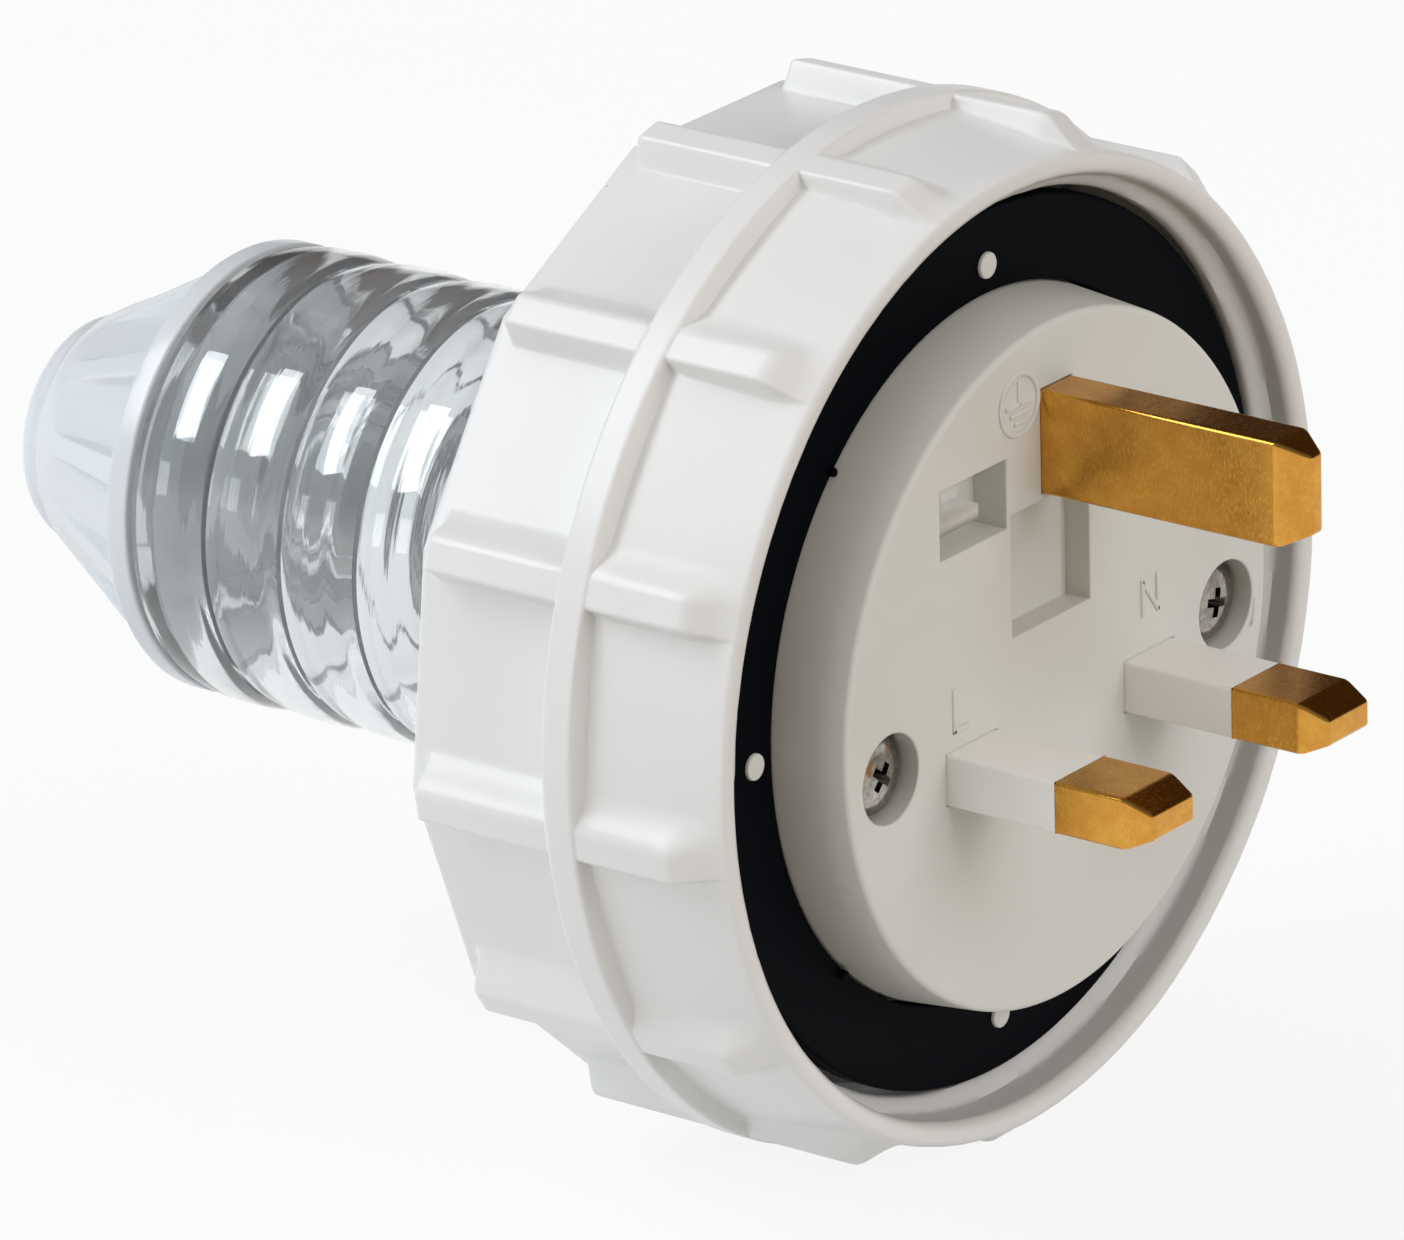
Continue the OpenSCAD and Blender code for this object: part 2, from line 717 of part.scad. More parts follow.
// Arched bar that holds the cable down on its two posts
module cord_clamp() color(white_plastic) place() {
  bar_len = clamp_pitch + 2 * clamp_post_r;
  arch_r = 1.2 * clamp_t;
  crown_r = arch_r + 0.6 * clamp_t;
  difference() {
    union() {
      translate([0, -clamp_drop]) bar(bar_len, clamp_w, clamp_front, clamp_back);
      translate([0, -clamp_drop, clamp_front]) rotate([90, 0, 0]) rod(crown_r, -clamp_w / 2, clamp_w / 2);
    }
    translate([0, -clamp_drop, clamp_front]) rotate([90, 0, 0]) rod(arch_r, -clamp_w, clamp_w);
    translate([0, -clamp_drop]) bar(bar_len, 2 * clamp_w, clamp_front, clamp_front + 2 * crown_r);
    for (p = clamp_places) translate(p) rod(small_screw_r + push_fit, clamp_front + over, clamp_back - over);
  }
}

module cord_clamp_screws() color(steel) place() {
  for (p = clamp_places) translate(p) small_screw(clamp_back);
}

// Cross-headed screws that pull the carrier and the housing together
module carrier_screws() color(steel) place() {
  head_top = well_back + body_head_h;
  slot_bottom = well_back + body_head_h * slot_floor;
  cross_len = 1.3 * body_head_r;
  for (p = body_screw_places) translate(p) difference() {
    union() {
      rod(body_screw_r, well_back, well_back - body_screw_len);
      turned([[0, well_back], [body_head_r, well_back], [body_head_r, slot_bottom],
              [body_head_r - 2 * edge, head_top], [0, head_top]]);
    }
    bar(slot_w, cross_len, slot_bottom, head_top + over);
    bar(cross_len, slot_w, slot_bottom, head_top + over);
  }
}

module gland_seal() color(pale_rubber) place() {
  turned([[seal_bore_r + seal_ease, pocket_front], [seal_r - seal_ease, pocket_front],
          [seal_r, pocket_front - seal_ease], [seal_r, seal_back], [seal_bore_r + seal_ease, seal_back],
          [seal_bore_r, seal_back + seal_ease], [seal_bore_r, pocket_front - seal_ease]]);
}

module gland_washer() color(white_plastic) place() {
  washer(washer_r, washer_bore_r, washer_front, washer_back);
}

// One sunk panel in the nut's cone, drawn on its +x side: deepest at the collar, it runs out towards the nose
module flute() {
  run = cone_len - flute_end;
  lean = atan((cone_r - nose_r) / cone_len - flute_d / run);
  floor_len = run / cos(lean);
  wide = 2 * PI * cone_r / flute_count * flute_share;
  narrow = 2 * PI * nose_r / flute_count * flute_share;
  translate([cone_r - flute_d, 0, collar_back])
    rotate([0, lean, 0]) rotate([-90, 0, -90]) linear_extrude(3 * flute_d)
      polygon([[-wide / 2, 0], [wide / 2, 0], [narrow / 2, floor_len], [-narrow / 2, floor_len]]);
}

// Fluted cone with a collar at its front, a rounded nose and a straight cable hole
module gland_nut() color(white_plastic) place() {
  nose_mid_r = nose_r - edge - nose_round;
  difference() {
    turned(concat([[0, nut_front], [0, nut_back]],
                  arc(nose_mid_r, nut_back + nose_round, nose_round, 270, 360),
                  [[nose_r, cone_back], [cone_r, collar_back]],
                  arc(collar_r - edge, collar_back + edge, edge, 270, 360),
                  [[collar_r, nut_front]]));
    rod(nut_bore_r, nut_front + over, nut_step);
    turned(concat([[0, nut_front], [cable_r, nut_front]],
                  arc(cable_r + mouth_round, nut_back + mouth_round, mouth_round, 180, 270),
                  [[cable_r + mouth_round, nut_back - over], [0, nut_back - over]]));
    round_about(flute_count) flute();
  }
}

locking_ring();
rear_housing();
housing_seal();
pin_carrier();
face_gasket();
earth_pin();
live_pin();
neutral_pin();
live_pin_sleeve();
neutral_pin_sleeve();
live_fuse_clip();
load_fuse_clip();
live_terminal();
fuse_barrel();
fuse_caps();
terminal_screws();
cord_clamp();
cord_clamp_screws();
carrier_screws();
gland_seal();
gland_washer();
gland_nut();
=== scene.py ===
"""Looks of a weatherproof three-pin mains plug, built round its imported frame.

Sizes in the classes are in millimetres and angles in degrees; meshes are in metres. The plug axis is Y:
the pins point towards -Y, the cable leaves towards +Y, and the earth pin is up. A depth is measured
from the carrier's face towards the cable.
"""
import json
import logging
import math
from dataclasses import dataclass
from enum import Enum
from typing import Any, Callable, Sequence

import bmesh
import bpy
from mathutils import Matrix, Vector

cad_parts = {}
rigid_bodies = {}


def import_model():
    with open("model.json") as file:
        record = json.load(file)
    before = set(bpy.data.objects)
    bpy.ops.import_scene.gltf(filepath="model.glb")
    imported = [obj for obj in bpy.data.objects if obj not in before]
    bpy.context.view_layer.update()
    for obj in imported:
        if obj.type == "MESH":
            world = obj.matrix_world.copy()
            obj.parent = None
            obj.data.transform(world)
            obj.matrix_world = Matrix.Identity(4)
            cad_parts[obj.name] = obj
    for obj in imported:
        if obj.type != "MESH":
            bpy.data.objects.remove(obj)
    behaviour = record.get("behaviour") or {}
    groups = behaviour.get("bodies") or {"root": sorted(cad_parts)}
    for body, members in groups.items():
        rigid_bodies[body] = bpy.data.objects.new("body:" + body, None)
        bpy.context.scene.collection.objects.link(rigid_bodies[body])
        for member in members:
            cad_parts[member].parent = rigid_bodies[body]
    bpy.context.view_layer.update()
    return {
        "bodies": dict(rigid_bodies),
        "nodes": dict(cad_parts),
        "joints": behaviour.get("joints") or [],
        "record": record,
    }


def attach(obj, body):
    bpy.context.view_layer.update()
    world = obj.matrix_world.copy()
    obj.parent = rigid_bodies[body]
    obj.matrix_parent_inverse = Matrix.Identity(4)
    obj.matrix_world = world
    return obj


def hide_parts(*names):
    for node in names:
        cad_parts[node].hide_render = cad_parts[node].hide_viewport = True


MM = 0.001
log = logging.getLogger("plug")

# Points this close are joined, in metres: within one shape, and where the copies of a sector meet.
MERGE = 1e-6
SEAM = 2e-6
# Lengths that differ by less than this many millimetres count as equal.
SAME = 0.01
# Angles between faces: flat enough to be one face, sharp enough to be rounded, sharp enough to shade as an edge.
FLAT_ANGLE = math.radians(0.4)
ROUNDED_ANGLE = math.radians(25)
EDGE_ANGLE = math.radians(40)
# A spin round this axis goes from +X towards +Z.
ORIGIN = (0, 0, 0)
SPIN_AXIS = (0, -1, 0)
QUARTER_TURN = tuple(math.radians(9 * k) for k in range(11))
# Faces round a turned piece, from the largest to the smallest.
HOUSING_STEPS = 256
ROUND_STEPS = 192
ROD_STEPS = 48
NIB_STEPS = 16
# Distances from a turning point at which an outline has stations, and the least distance between two stations.
FINE_REACH = (0.0, 0.06, 0.13, 0.22, 0.34, 0.5, 0.8, 1.4, 2.6)
PLAIN_REACH = (0.0, 0.08, 0.18, 0.32, 0.5, 0.9, 1.8)
STATION_GAP = 0.05
# Depths of the carrier's face and of the tops of its pips.
FRONT_LEVELS = (0.0, 5.8)
# Most of a noise pattern lies between these values.
NOISE_RANGE = (0.3, 0.7)

Shape = bmesh.types.BMesh
Tree = bpy.types.NodeTree
Socket = bpy.types.NodeSocket
Pair = tuple[float, float]
Triple = tuple[float, float, float]
Outline = list[Pair]


class Body(str, Enum):
    """The bodies that new pieces ride on."""

    PLUG = "plug_body"
    RING = "locking_ring"
    NUT = "gland_nut"


class Slot(str, Enum):
    """The record's material slots."""

    RING = "ring_plastic"
    CARRIER = "carrier_plastic"
    NUT = "nut_plastic"
    SLEEVE = "sleeve_plastic"
    CLEAR = "clear_plastic"
    RUBBER = "black_rubber"
    SEAL = "pale_rubber"
    BRASS = "brass"
    STEEL = "plated_steel"
    CERAMIC = "fuse_ceramic"


class Carve(str, Enum):
    """How one closed shape acts on another."""

    JOIN = "UNION"
    CUT = "DIFFERENCE"


class Edges(Enum):
    """Which sharp edges of a copied node are rounded."""

    ALONG = "those along the plug axis"
    FRONT = "those in the carrier's face and on its pips"


# Shapes


def place(radius: float, angle: float, depth: float) -> Vector:
    """A point in metres from its radius, its angle in radians from +X towards +Z, and its depth."""
    return Vector((radius * math.cos(angle), depth, radius * math.sin(angle))) * MM


def polar(point: Vector) -> tuple[float, float, float]:
    """Radius, angle and depth of a point in metres, the reverse of place."""
    return math.hypot(point.x, point.z) / MM, math.atan2(point.z, point.x), point.y / MM


def smooth_max(a: float, b: float, blend: float) -> float:
    """The larger of two heights, with the inner corner between them filled over the blend."""
    near = max(blend - abs(a - b), 0.0) / blend
    return max(a, b) + near * near * blend / 4


def edge_drop(inside: float, rounding: float, slope: float) -> float:
    """How far a flat top has dropped near its edge.

    Args:
        inside: distance from the edge, positive on the top.
        rounding: radius of the rounded edge.
        slope: steepness of the wall below the edge.

    Returns:
        The drop below the flat top.
    """
    if inside >= rounding:
        return 0.0
    if inside <= 0.0:
        return rounding - slope * inside
    return rounding - math.sqrt(rounding ** 2 - (rounding - inside) ** 2)


def clustered(turns: Sequence[float], low: float, high: float, reach: Sequence[float]) -> list[float]:
    """Stations between two ends, close together near each turning point of a shape.

    Args:
        turns: the turning points.
        low: first station.
        high: last station.
        reach: distances from a turning point at which there are stations.

    Returns:
        The stations in order.
    """
    stations = [low]
    for station in sorted(t + side * r for t in turns for r in reach for side in (-1, 1)):
        if stations[-1] + STATION_GAP < station < high - STATION_GAP:
            stations.append(station)
    return stations + [high]


def soft_outline(corners: Sequence[Triple], steps: int = 4) -> Outline:
    """A closed outline whose corners are replaced by short curves.

    Args:
        corners: radius, depth and length of the curve at each corner.
        steps: pieces in each curve.

    Returns:
        Points of radius and depth.
    """
    points: list[Vector] = []
    for i, (radius, depth, ease) in enumerate(corners):
        here = Vector((radius, depth))
        before = Vector(corners[i - 1][:2])
        after = Vector(corners[(i + 1) % len(corners)][:2])
        if ease == 0.0:
            points.append(here)
            continue
        start = here + (before - here).normalized() * ease
        end = here + (after - here).normalized() * ease
        for k in range(steps + 1):
            t = k / steps
            points.append(start.lerp(here, t).lerp(here.lerp(end, t), t))
    return [(p.x, p.y) for p in points]


def revolve(outline: Outline, steps: int, start: float = 0.0, sweep: float = math.tau) -> Shape:
    """Sweeps a closed outline round the plug axis.

    Args:
        outline: points of radius and depth.
        steps: number of faces round the sweep.
        start: angle of the first section, in radians.
        sweep: angle swept; a full turn is closed on itself.

    Returns:
        The swept shape.
    """
    bm = bmesh.new()
    verts = [bm.verts.new(place(radius, start, depth)) for radius, depth in outline]
    edges = [bm.edges.new((verts[i - 1], verts[i])) for i in range(len(verts))]
    bmesh.ops.spin(bm, geom=verts + edges, cent=ORIGIN, axis=SPIN_AXIS, angle=sweep, steps=steps,
                   use_merge=math.isclose(sweep, math.tau))
    bmesh.ops.remove_doubles(bm, verts=bm.verts, dist=MERGE)
    bmesh.ops.recalc_face_normals(bm, faces=bm.faces)
    return bm


def mould_sector(outline: Outline, angles: Sequence[float], shaped: Callable[[float, float, float], float]) -> Shape:
    """Sweeps one sector of a piece and moulds it to shape.

    Args:
        outline: points of radius and depth.
        angles: angle of each section in radians, from minus half a sector to plus half a sector.
        shaped: gives a point's new radius from its radius, angle and depth.

    Returns:
        The sector, with its middle at +X.
    """
    half, steps = angles[-1], len(angles) - 1
    bm = revolve(outline, steps, -half, 2 * half)
    for v in bm.verts:
        radius, angle, depth = polar(v.co)
        turn = angles[round((angle + half) / (2 * half) * steps)]
        v.co = place(shaped(radius, turn, depth), turn, depth)
    return bm


def repeat_sector(bm: Shape, count: int) -> None:
    """Repeats a sector round the plug axis and joins the copies.

    Args:
        bm: the sector, which becomes the whole turn.
        count: number of sectors in the turn.
    """
    bmesh.ops.spin(bm, geom=bm.verts[:] + bm.edges[:] + bm.faces[:], cent=ORIGIN, axis=SPIN_AXIS,
                   angle=math.tau * (count - 1) / count, steps=count - 1, use_duplicate=True)
    bmesh.ops.remove_doubles(bm, verts=bm.verts, dist=SEAM)


def shift(bm: Shape, x: float, z: float) -> None:
    """Moves a shape across the plug axis."""
    bmesh.ops.translate(bm, vec=Vector((x, 0, z)) * MM, verts=bm.verts)


def roll(bm: Shape, angle: float) -> None:
    """Turns a shape about the plug axis by an angle in radians, from +X towards +Z."""
    bmesh.ops.rotate(bm, verts=bm.verts, cent=ORIGIN, matrix=Matrix.Rotation(-angle, 3, "Y"))


def round_edges(bm: Shape, edges: Sequence[bmesh.types.BMEdge], ease: float, segments: int) -> None:
    """Rounds some edges of a shape over a width."""
    bmesh.ops.bevel(bm, geom=edges, offset=ease * MM, segments=segments, profile=0.5, affect="EDGES", material=-1)
    bmesh.ops.recalc_face_normals(bm, faces=bm.faces)


def box(size: Sequence[float], centre: Sequence[float], ease: float = 0.0) -> Shape:
    """A block, with its edges rounded if that is asked for.

    Args:
        size: its lengths in X, depth and Z.
        centre: the place of its middle in X, depth and Z.
        ease: width of the rounding.

    Returns:
        The block.
    """
    bm = bmesh.new()
    bmesh.ops.create_cube(bm, size=1.0)
    bmesh.ops.scale(bm, vec=Vector(size) * MM, verts=bm.verts)
    bmesh.ops.translate(bm, vec=Vector(centre) * MM, verts=bm.verts)
    if ease:
        round_edges(bm, bm.edges[:], ease, 2)
    return bm


def to_mesh(bm: Shape, name: str) -> bpy.types.Mesh:
    """A mesh made of a shape.

    Args:
        bm: the shape; it is freed.
        name: the mesh's name.

    Returns:
        The mesh.
    """
    mesh = bpy.data.meshes.new(name)
    bm.to_mesh(mesh)
    bm.free()
    return mesh


def add_object(name: str, data: bpy.types.ID) -> bpy.types.Object:
    """Adds an object to the scene.

    Args:
        name: the object's name.
        data: its mesh, lamp or camera data.

    Returns:
        The object.
    """
    obj = bpy.data.objects.new(name, data)
    bpy.context.scene.collection.objects.link(obj)
    return obj


def add_shape(bm: Shape, other: Shape) -> None:
    """Adds a shape's faces to another shape.

    Args:
        bm: the shape that gains them.
        other: the shape that they come from; it is freed.
    """
    mesh = to_mesh(other, "shape")
    bm.from_mesh(mesh)
    bpy.data.meshes.remove(mesh)


def carve(solid: Shape, tool: Shape, how: Carve) -> Shape:
    """Joins or cuts one closed shape with another.

    Args:
        solid: the shape that is worked on; it is freed.
        tool: the shape that is joined to it or taken from it; it is freed.
        how: join or cut.

    Returns:
        The new shape.
    """
    pair = [add_object("carve", to_mesh(part, "carve")) for part in (solid, tool)]
    step = pair[0].modifiers.new("carve", "BOOLEAN")
    step.operation, step.object, step.solver = how.value, pair[1], "EXACT"
    result = bmesh.new()
    result.from_object(pair[0], bpy.context.evaluated_depsgraph_get())
    for obj in pair:
        mesh = obj.data
        bpy.data.objects.remove(obj)
        bpy.data.meshes.remove(mesh)
    return result


def merged_copy(node: bpy.types.Object) -> Shape:
    """A copy of a CAD node with its corners joined and its flat faces whole.

    Args:
        node: the node's object, which stays as it is.

    Returns:
        The copy.
    """
    bm = bmesh.new()
    bm.from_mesh(node.data)
    bmesh.ops.remove_doubles(bm, verts=bm.verts, dist=MERGE)
    bmesh.ops.dissolve_limit(bm, angle_limit=FLAT_ANGLE, verts=bm.verts, edges=bm.edges)
    return bm


def is_picked(edge: bmesh.types.BMEdge, choice: Edges) -> bool:
    """Whether an edge of a copied node is to be rounded.

    Args:
        edge: the edge.
        choice: which edges are rounded, if they are sharp.

    Returns:
        True if it is sharp and one of the chosen ones.
    """
    if not edge.is_manifold or edge.calc_face_angle() < ROUNDED_ANGLE:
        return False
    start, end = (v.co / MM for v in edge.verts)
    if choice is Edges.ALONG:
        return math.hypot(end.x - start.x, end.z - start.z) < SAME
    return abs(end.y - start.y) < SAME and min(abs(start.y - level) for level in FRONT_LEVELS) < 2 * SAME


def make_piece(name: str, bm: Shape, body: Body, slot: Slot, node: str) -> bpy.types.Object:
    """Turns a shape into a finished piece on its body.

    Args:
        name: the piece's name.
        bm: its shape; it is freed.
        body: the body that it rides on.
        slot: the slot that gives its finish.
        node: the CAD node that it stands for.

    Returns:
        The new object.
    """
    mesh = to_mesh(bm, name)
    mesh.shade_smooth()
    mesh.set_sharp_from_angle(angle=EDGE_ANGLE)
    mesh.materials.append(FINISHES[slot])
    obj = add_object(name, mesh)
    even = obj.modifiers.new("even shading", "WEIGHTED_NORMAL")
    even.keep_sharp = True
    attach(obj, body.value)
    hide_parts(node)
    log.info("%s: %d faces on %s", name, len(mesh.polygons), body.value)
    return obj


# Finishes


def linear(colour: str) -> tuple[float, float, float, float]:
    """A linear colour from an sRGB hex value.

    Args:
        colour: the hex value, with its hash sign.

    Returns:
        Red, green, blue and full opacity.
    """
    channels = [int(colour[i:i + 2], 16) / 255 for i in (1, 3, 5)]
    light = [c / 12.92 if c <= 0.04045 else ((c + 0.055) / 1.055) ** 2.4 for c in channels]
    return (*light, 1.0)


def per_mm(size: float) -> float:
    """Pattern scale at which one cell measures this many millimetres."""
    return 1.0 / (size * MM)


def fill_node(tree: Tree, node: bpy.types.Node, settings: dict[Any, Any], links: dict[Any, Any]) -> None:
    """Gives a node its settings and links.

    Args:
        tree: the tree that it is in.
        node: the node.
        settings: values of its inputs and properties.
        links: outputs of other nodes, by the input that each goes to.
    """
    for key, value in settings.items():
        if isinstance(key, int) or key in node.inputs:
            node.inputs[key].default_value = value
        else:
            setattr(node, key, value)
    for key, source in links.items():
        tree.links.new(source, node.inputs[key])


def add_node(tree: Tree, kind: str, settings: dict[Any, Any] | None = None,
             links: dict[Any, Any] | None = None) -> bpy.types.Node:
    """Adds a node with its settings and links.

    Args:
        tree: the tree that it goes into.
        kind: the node's type.
        settings: values of its inputs and properties.
        links: outputs of other nodes, by the input that each goes to.

    Returns:
        The new node.
    """
    node = tree.nodes.new(kind)
    fill_node(tree, node, settings or {}, links or {})
    return node


def surface_place(tree: Tree) -> Socket:
    """The place of a point of the surface, which stays with the piece when it moves."""
    return add_node(tree, "ShaderNodeTexCoord").outputs["Object"]


def stretched_place(tree: Tree, across: float, along: float) -> Socket:
    """The place of a point, scaled so that a pattern's cells have these lengths across and along the plug axis."""
    scale = (per_mm(across), per_mm(along), per_mm(across))
    return add_node(tree, "ShaderNodeMapping", {"Scale": scale}, {"Vector": surface_place(tree)}).outputs["Vector"]


def noise(tree: Tree, where: Socket, scale: float, detail: float, roughness: float = 0.5) -> Socket:
    """A cloudy pattern between 0 and 1.

    Args:
        tree: the tree that it goes into.
        where: the place on the surface.
        scale: cells in a metre.
        detail: number of finer layers.
        roughness: strength of the finer layers.

    Returns:
        The pattern's value.
    """
    settings = {"Scale": scale, "Detail": detail, "Roughness": roughness}
    return add_node(tree, "ShaderNodeTexNoise", settings, {"Vector": where}).outputs["Fac"]


def ramp(tree: Tree, value: Socket, start: float, end: float, low: float = 0.0, high: float = 1.0) -> Socket:
    """A value that goes from low to high while another goes from start to end.

    Args:
        tree: the tree that it goes into.
        value: the other value.
        start: where the change starts.
        end: where it ends.
        low: the value up to the start.
        high: the value from the end.

    Returns:
        The new value.
    """
    settings = {"From Min": start, "From Max": end, "To Min": low, "To Max": high}
    return add_node(tree, "ShaderNodeMapRange", settings, {"Value": value}).outputs["Result"]


def mix(tree: Tree, share: Socket, low: str | Socket, high: str | Socket) -> Socket:
    """A colour between two others.

    Args:
        tree: the tree that it goes into.
        share: how much of the second colour it has.
        low: the first colour, as a hex value or an output.
        high: the second colour, in the same way.

    Returns:
        The mixed colour.
    """
    settings: dict[Any, Any] = {"data_type": "RGBA"}
    links: dict[Any, Any] = {0: share}
    for key, colour in ((6, low), (7, high)):
        if isinstance(colour, str):
            settings[key] = linear(colour)
        else:
            links[key] = colour
    return add_node(tree, "ShaderNodeMix", settings, links).outputs[2]


def bump(tree: Tree, height: Socket, depth: float, under: Socket | None = None) -> Socket:
    """A surface direction that shows small heights.

    Args:
        tree: the tree that it goes into.
        height: the pattern of heights.
        depth: the largest height, in millimetres.
        under: a surface direction that these heights stand on.

    Returns:
        The new surface direction.
    """
    links = {"Height": height, "Normal": under} if under else {"Height": height}
    return add_node(tree, "ShaderNodeBump", {"Distance": depth * MM, "Strength": 1.0}, links).outputs["Normal"]


def new_material(name: str) -> tuple[bpy.types.Material, Tree, bpy.types.Node]:
    """An empty material.

    Args:
        name: the material's name.

    Returns:
        The material, its tree and its surface shader.
    """
    material = bpy.data.materials.new(name)
    material.use_nodes = True
    tree = material.node_tree
    return material, tree, tree.nodes["Principled BSDF"]


@dataclass(frozen=True)
class MouldedPlastic:
    """Opaque injection-moulded thermoplastic: even colour, slow sink ripples and a fine mould texture."""

    name: str
    colour: str
    shade: str
    roughness: float
    grain: float = 0.3
    grain_depth: float = 0.001
    gloss_spread: float = 0.15
    ripple: float = 12.0
    ripple_depth: float = 0.03
    speck: float = 9.0
    speck_size: float = 0.12
    speck_core: float = 0.4
    speck_strength: float = 0.55
    speck_colour: str = "#4A463E"
    ior: float = 1.53

    def make(self) -> bpy.types.Material:
        """Builds the material.

        Returns:
            The material.
        """
        material, tree, shader = new_material(self.name)
        where = surface_place(tree)
        flow = noise(tree, where, per_mm(self.ripple), 2.0)
        fine = noise(tree, where, per_mm(self.grain), 3.0)
        spots = add_node(tree, "ShaderNodeTexVoronoi", {"Scale": per_mm(self.speck)}, {"Vector": where})
        size = self.speck_size / self.speck
        dirt = ramp(tree, spots.outputs["Distance"], size * self.speck_core, size, self.speck_strength, 0.0)
        tone = mix(tree, flow, self.colour, self.shade)
        gloss = ramp(tree, fine, *NOISE_RANGE, self.roughness * (1 - self.gloss_spread),
                     self.roughness * (1 + self.gloss_spread))
        skin = bump(tree, fine, self.grain_depth, bump(tree, flow, self.ripple_depth))
        fill_node(tree, shader, {"IOR": self.ior}, {"Base Color": mix(tree, dirt, tone, self.speck_colour),
                                                    "Roughness": gloss, "Normal": skin})
        return material


@dataclass(frozen=True)
class ClearPlastic:
    """Polished clear polycarbonate: strong refraction with the slow waviness of a moulded wall."""

    name: str
    colour: str
    roughness: float
    haze: float = 0.07
    streak: float = 0.6
    streak_length: float = 90.0
    streak_depth: float = 0.01
    ior: float = 1.585

    def make(self) -> bpy.types.Material:
        """Builds the material.

        Returns:
            The material.
        """
        material, tree, shader = new_material(self.name)
        flow = noise(tree, stretched_place(tree, self.streak_length, self.streak), 1.0, 2.0)
        fill_node(tree, shader, {"Base Color": linear(self.colour), "Roughness": self.roughness, "IOR": self.ior,
                                 "Transmission Weight": 1.0 - self.haze},
                  {"Normal": bump(tree, flow, self.streak_depth)})
        return material


@dataclass(frozen=True)
class Rubber:
    """Moulded rubber: even colour, dull sheen and a faint bloom of dust."""

    name: str
    colour: str
    bloom: str
    roughness: float
    sheen: float
    grain: float = 0.5
    grain_depth: float = 0.01
    bloom_range: Pair = (0.5, 0.8)
    bloom_strength: float = 0.35
    ior: float = 1.52

    def make(self) -> bpy.types.Material:
        """Builds the material.

        Returns:
            The material.
        """
        material, tree, shader = new_material(self.name)
        dust = noise(tree, surface_place(tree), per_mm(self.grain), 6.0, 0.7)
        veil = ramp(tree, dust, *self.bloom_range, 0.0, self.bloom_strength)
        tone = mix(tree, veil, self.colour, self.bloom)
        fill_node(tree, shader,
                  {"Roughness": self.roughness, "IOR": self.ior, "Specular IOR Level": self.sheen},
                  {"Base Color": tone, "Normal": bump(tree, dust, self.grain_depth)})
        return material


@dataclass(frozen=True)
class Metal:
    """Drawn and milled metal: fine marks across the length and a slightly uneven tone."""

    name: str
    colour: str
    tarnish: str
    roughness: float
    mark: float = 0.2
    mark_length: float = 0.4
    mark_depth: float = 0.0012
    patch: float = 1.6
    tarnish_range: Pair = (0.15, 0.45)
    gloss_range: Pair = (0.7, 1.4)

    def make(self) -> bpy.types.Material:
        """Builds the material.

        Returns:
            The material.
        """
        material, tree, shader = new_material(self.name)
        marks = noise(tree, stretched_place(tree, self.mark_length, self.mark), 1.0, 4.0, 0.65)
        patches = noise(tree, surface_place(tree), per_mm(self.patch), 4.0)
        shade = add_node(tree, "ShaderNodeMath", {"operation": "MULTIPLY"}, {0: marks, 1: patches})
        tone = mix(tree, ramp(tree, shade.outputs[0], *self.tarnish_range), self.tarnish, self.colour)
        gloss = ramp(tree, marks, *NOISE_RANGE, *(self.roughness * share for share in self.gloss_range))
        fill_node(tree, shader, {"Metallic": 1.0},
                  {"Base Color": tone, "Roughness": gloss, "Normal": bump(tree, marks, self.mark_depth)})
        return material


FINISHES: dict[Slot, bpy.types.Material] = {}

RECIPES = {
    # ABS from a satin mould: clean off-white, with soft broad highlights along the edges.
    Slot.RING: MouldedPlastic("moulded_abs_ring", "#E1E1DF", "#DCDCD9", 0.36),
    # Urea resin pressed in a fine matt mould: chalky and warmer, with hardly a highlight. The grain of such
    # a mould is about 0.05 mm, too fine to show, so it is drawn at 0.3 mm here and on the other plastics.
    Slot.CARRIER: MouldedPlastic("moulded_urea_carrier", "#D9DAD4", "#D2D3CC", 0.45, grain_depth=0.002),
    # Nylon from a polished mould: cool, glossy white with almost no grain.
    Slot.NUT: MouldedPlastic("moulded_nylon_nut", "#D6DADC", "#D0D5D8", 0.26, grain_depth=0.0003, gloss_spread=0.03),
    # Polypropylene moulded on the pin: the brightest white on the plug, smooth and slightly waxy.
    Slot.SLEEVE: MouldedPlastic("moulded_polypropylene_sleeve", "#F4F3EF", "#EEEDE8", 0.36),
    # Polycarbonate moulded on a polished core: glass-clear, bends what is behind it and shows faint rings
    # from the uneven wall.
    Slot.CLEAR: ClearPlastic("clear_polycarbonate", "#F3F6F7", 0.03),
    # Nitrile rubber moulded in a blasted mould: deep blue-black, dull, with a trace of dust.
    Slot.RUBBER: Rubber("black_moulded_rubber", "#05070B", "#0B0F14", 0.6, 0.03),
    # Silicone rubber, moulded: pale grey with a soft sheen.
    Slot.SEAL: Rubber("pale_grey_rubber", "#C6C8C4", "#D4D5D1", 0.5, 0.4),
    # Brass, drawn and then milled: warm gold with blurred reflections and a fine grain. The real marks are
    # under 0.1 mm and are drawn at 0.2 mm to show.
    Slot.BRASS: Metal("drawn_brass", "#E4AC4E", "#D0933E", 0.23),
    # Nickel-plated steel, cold-headed: grey mirror broken by small dents.
    Slot.STEEL: Metal("nickel_plated_steel", "#BEB9B1", "#7C766E", 0.16, mark=0.6),
    # Steatite ceramic, extruded and unglazed: cream, dry and without highlights.
    Slot.CERAMIC: MouldedPlastic("extruded_steatite_tube", "#EFE9DA", "#E4DDCC", 0.6),
}


# The plug


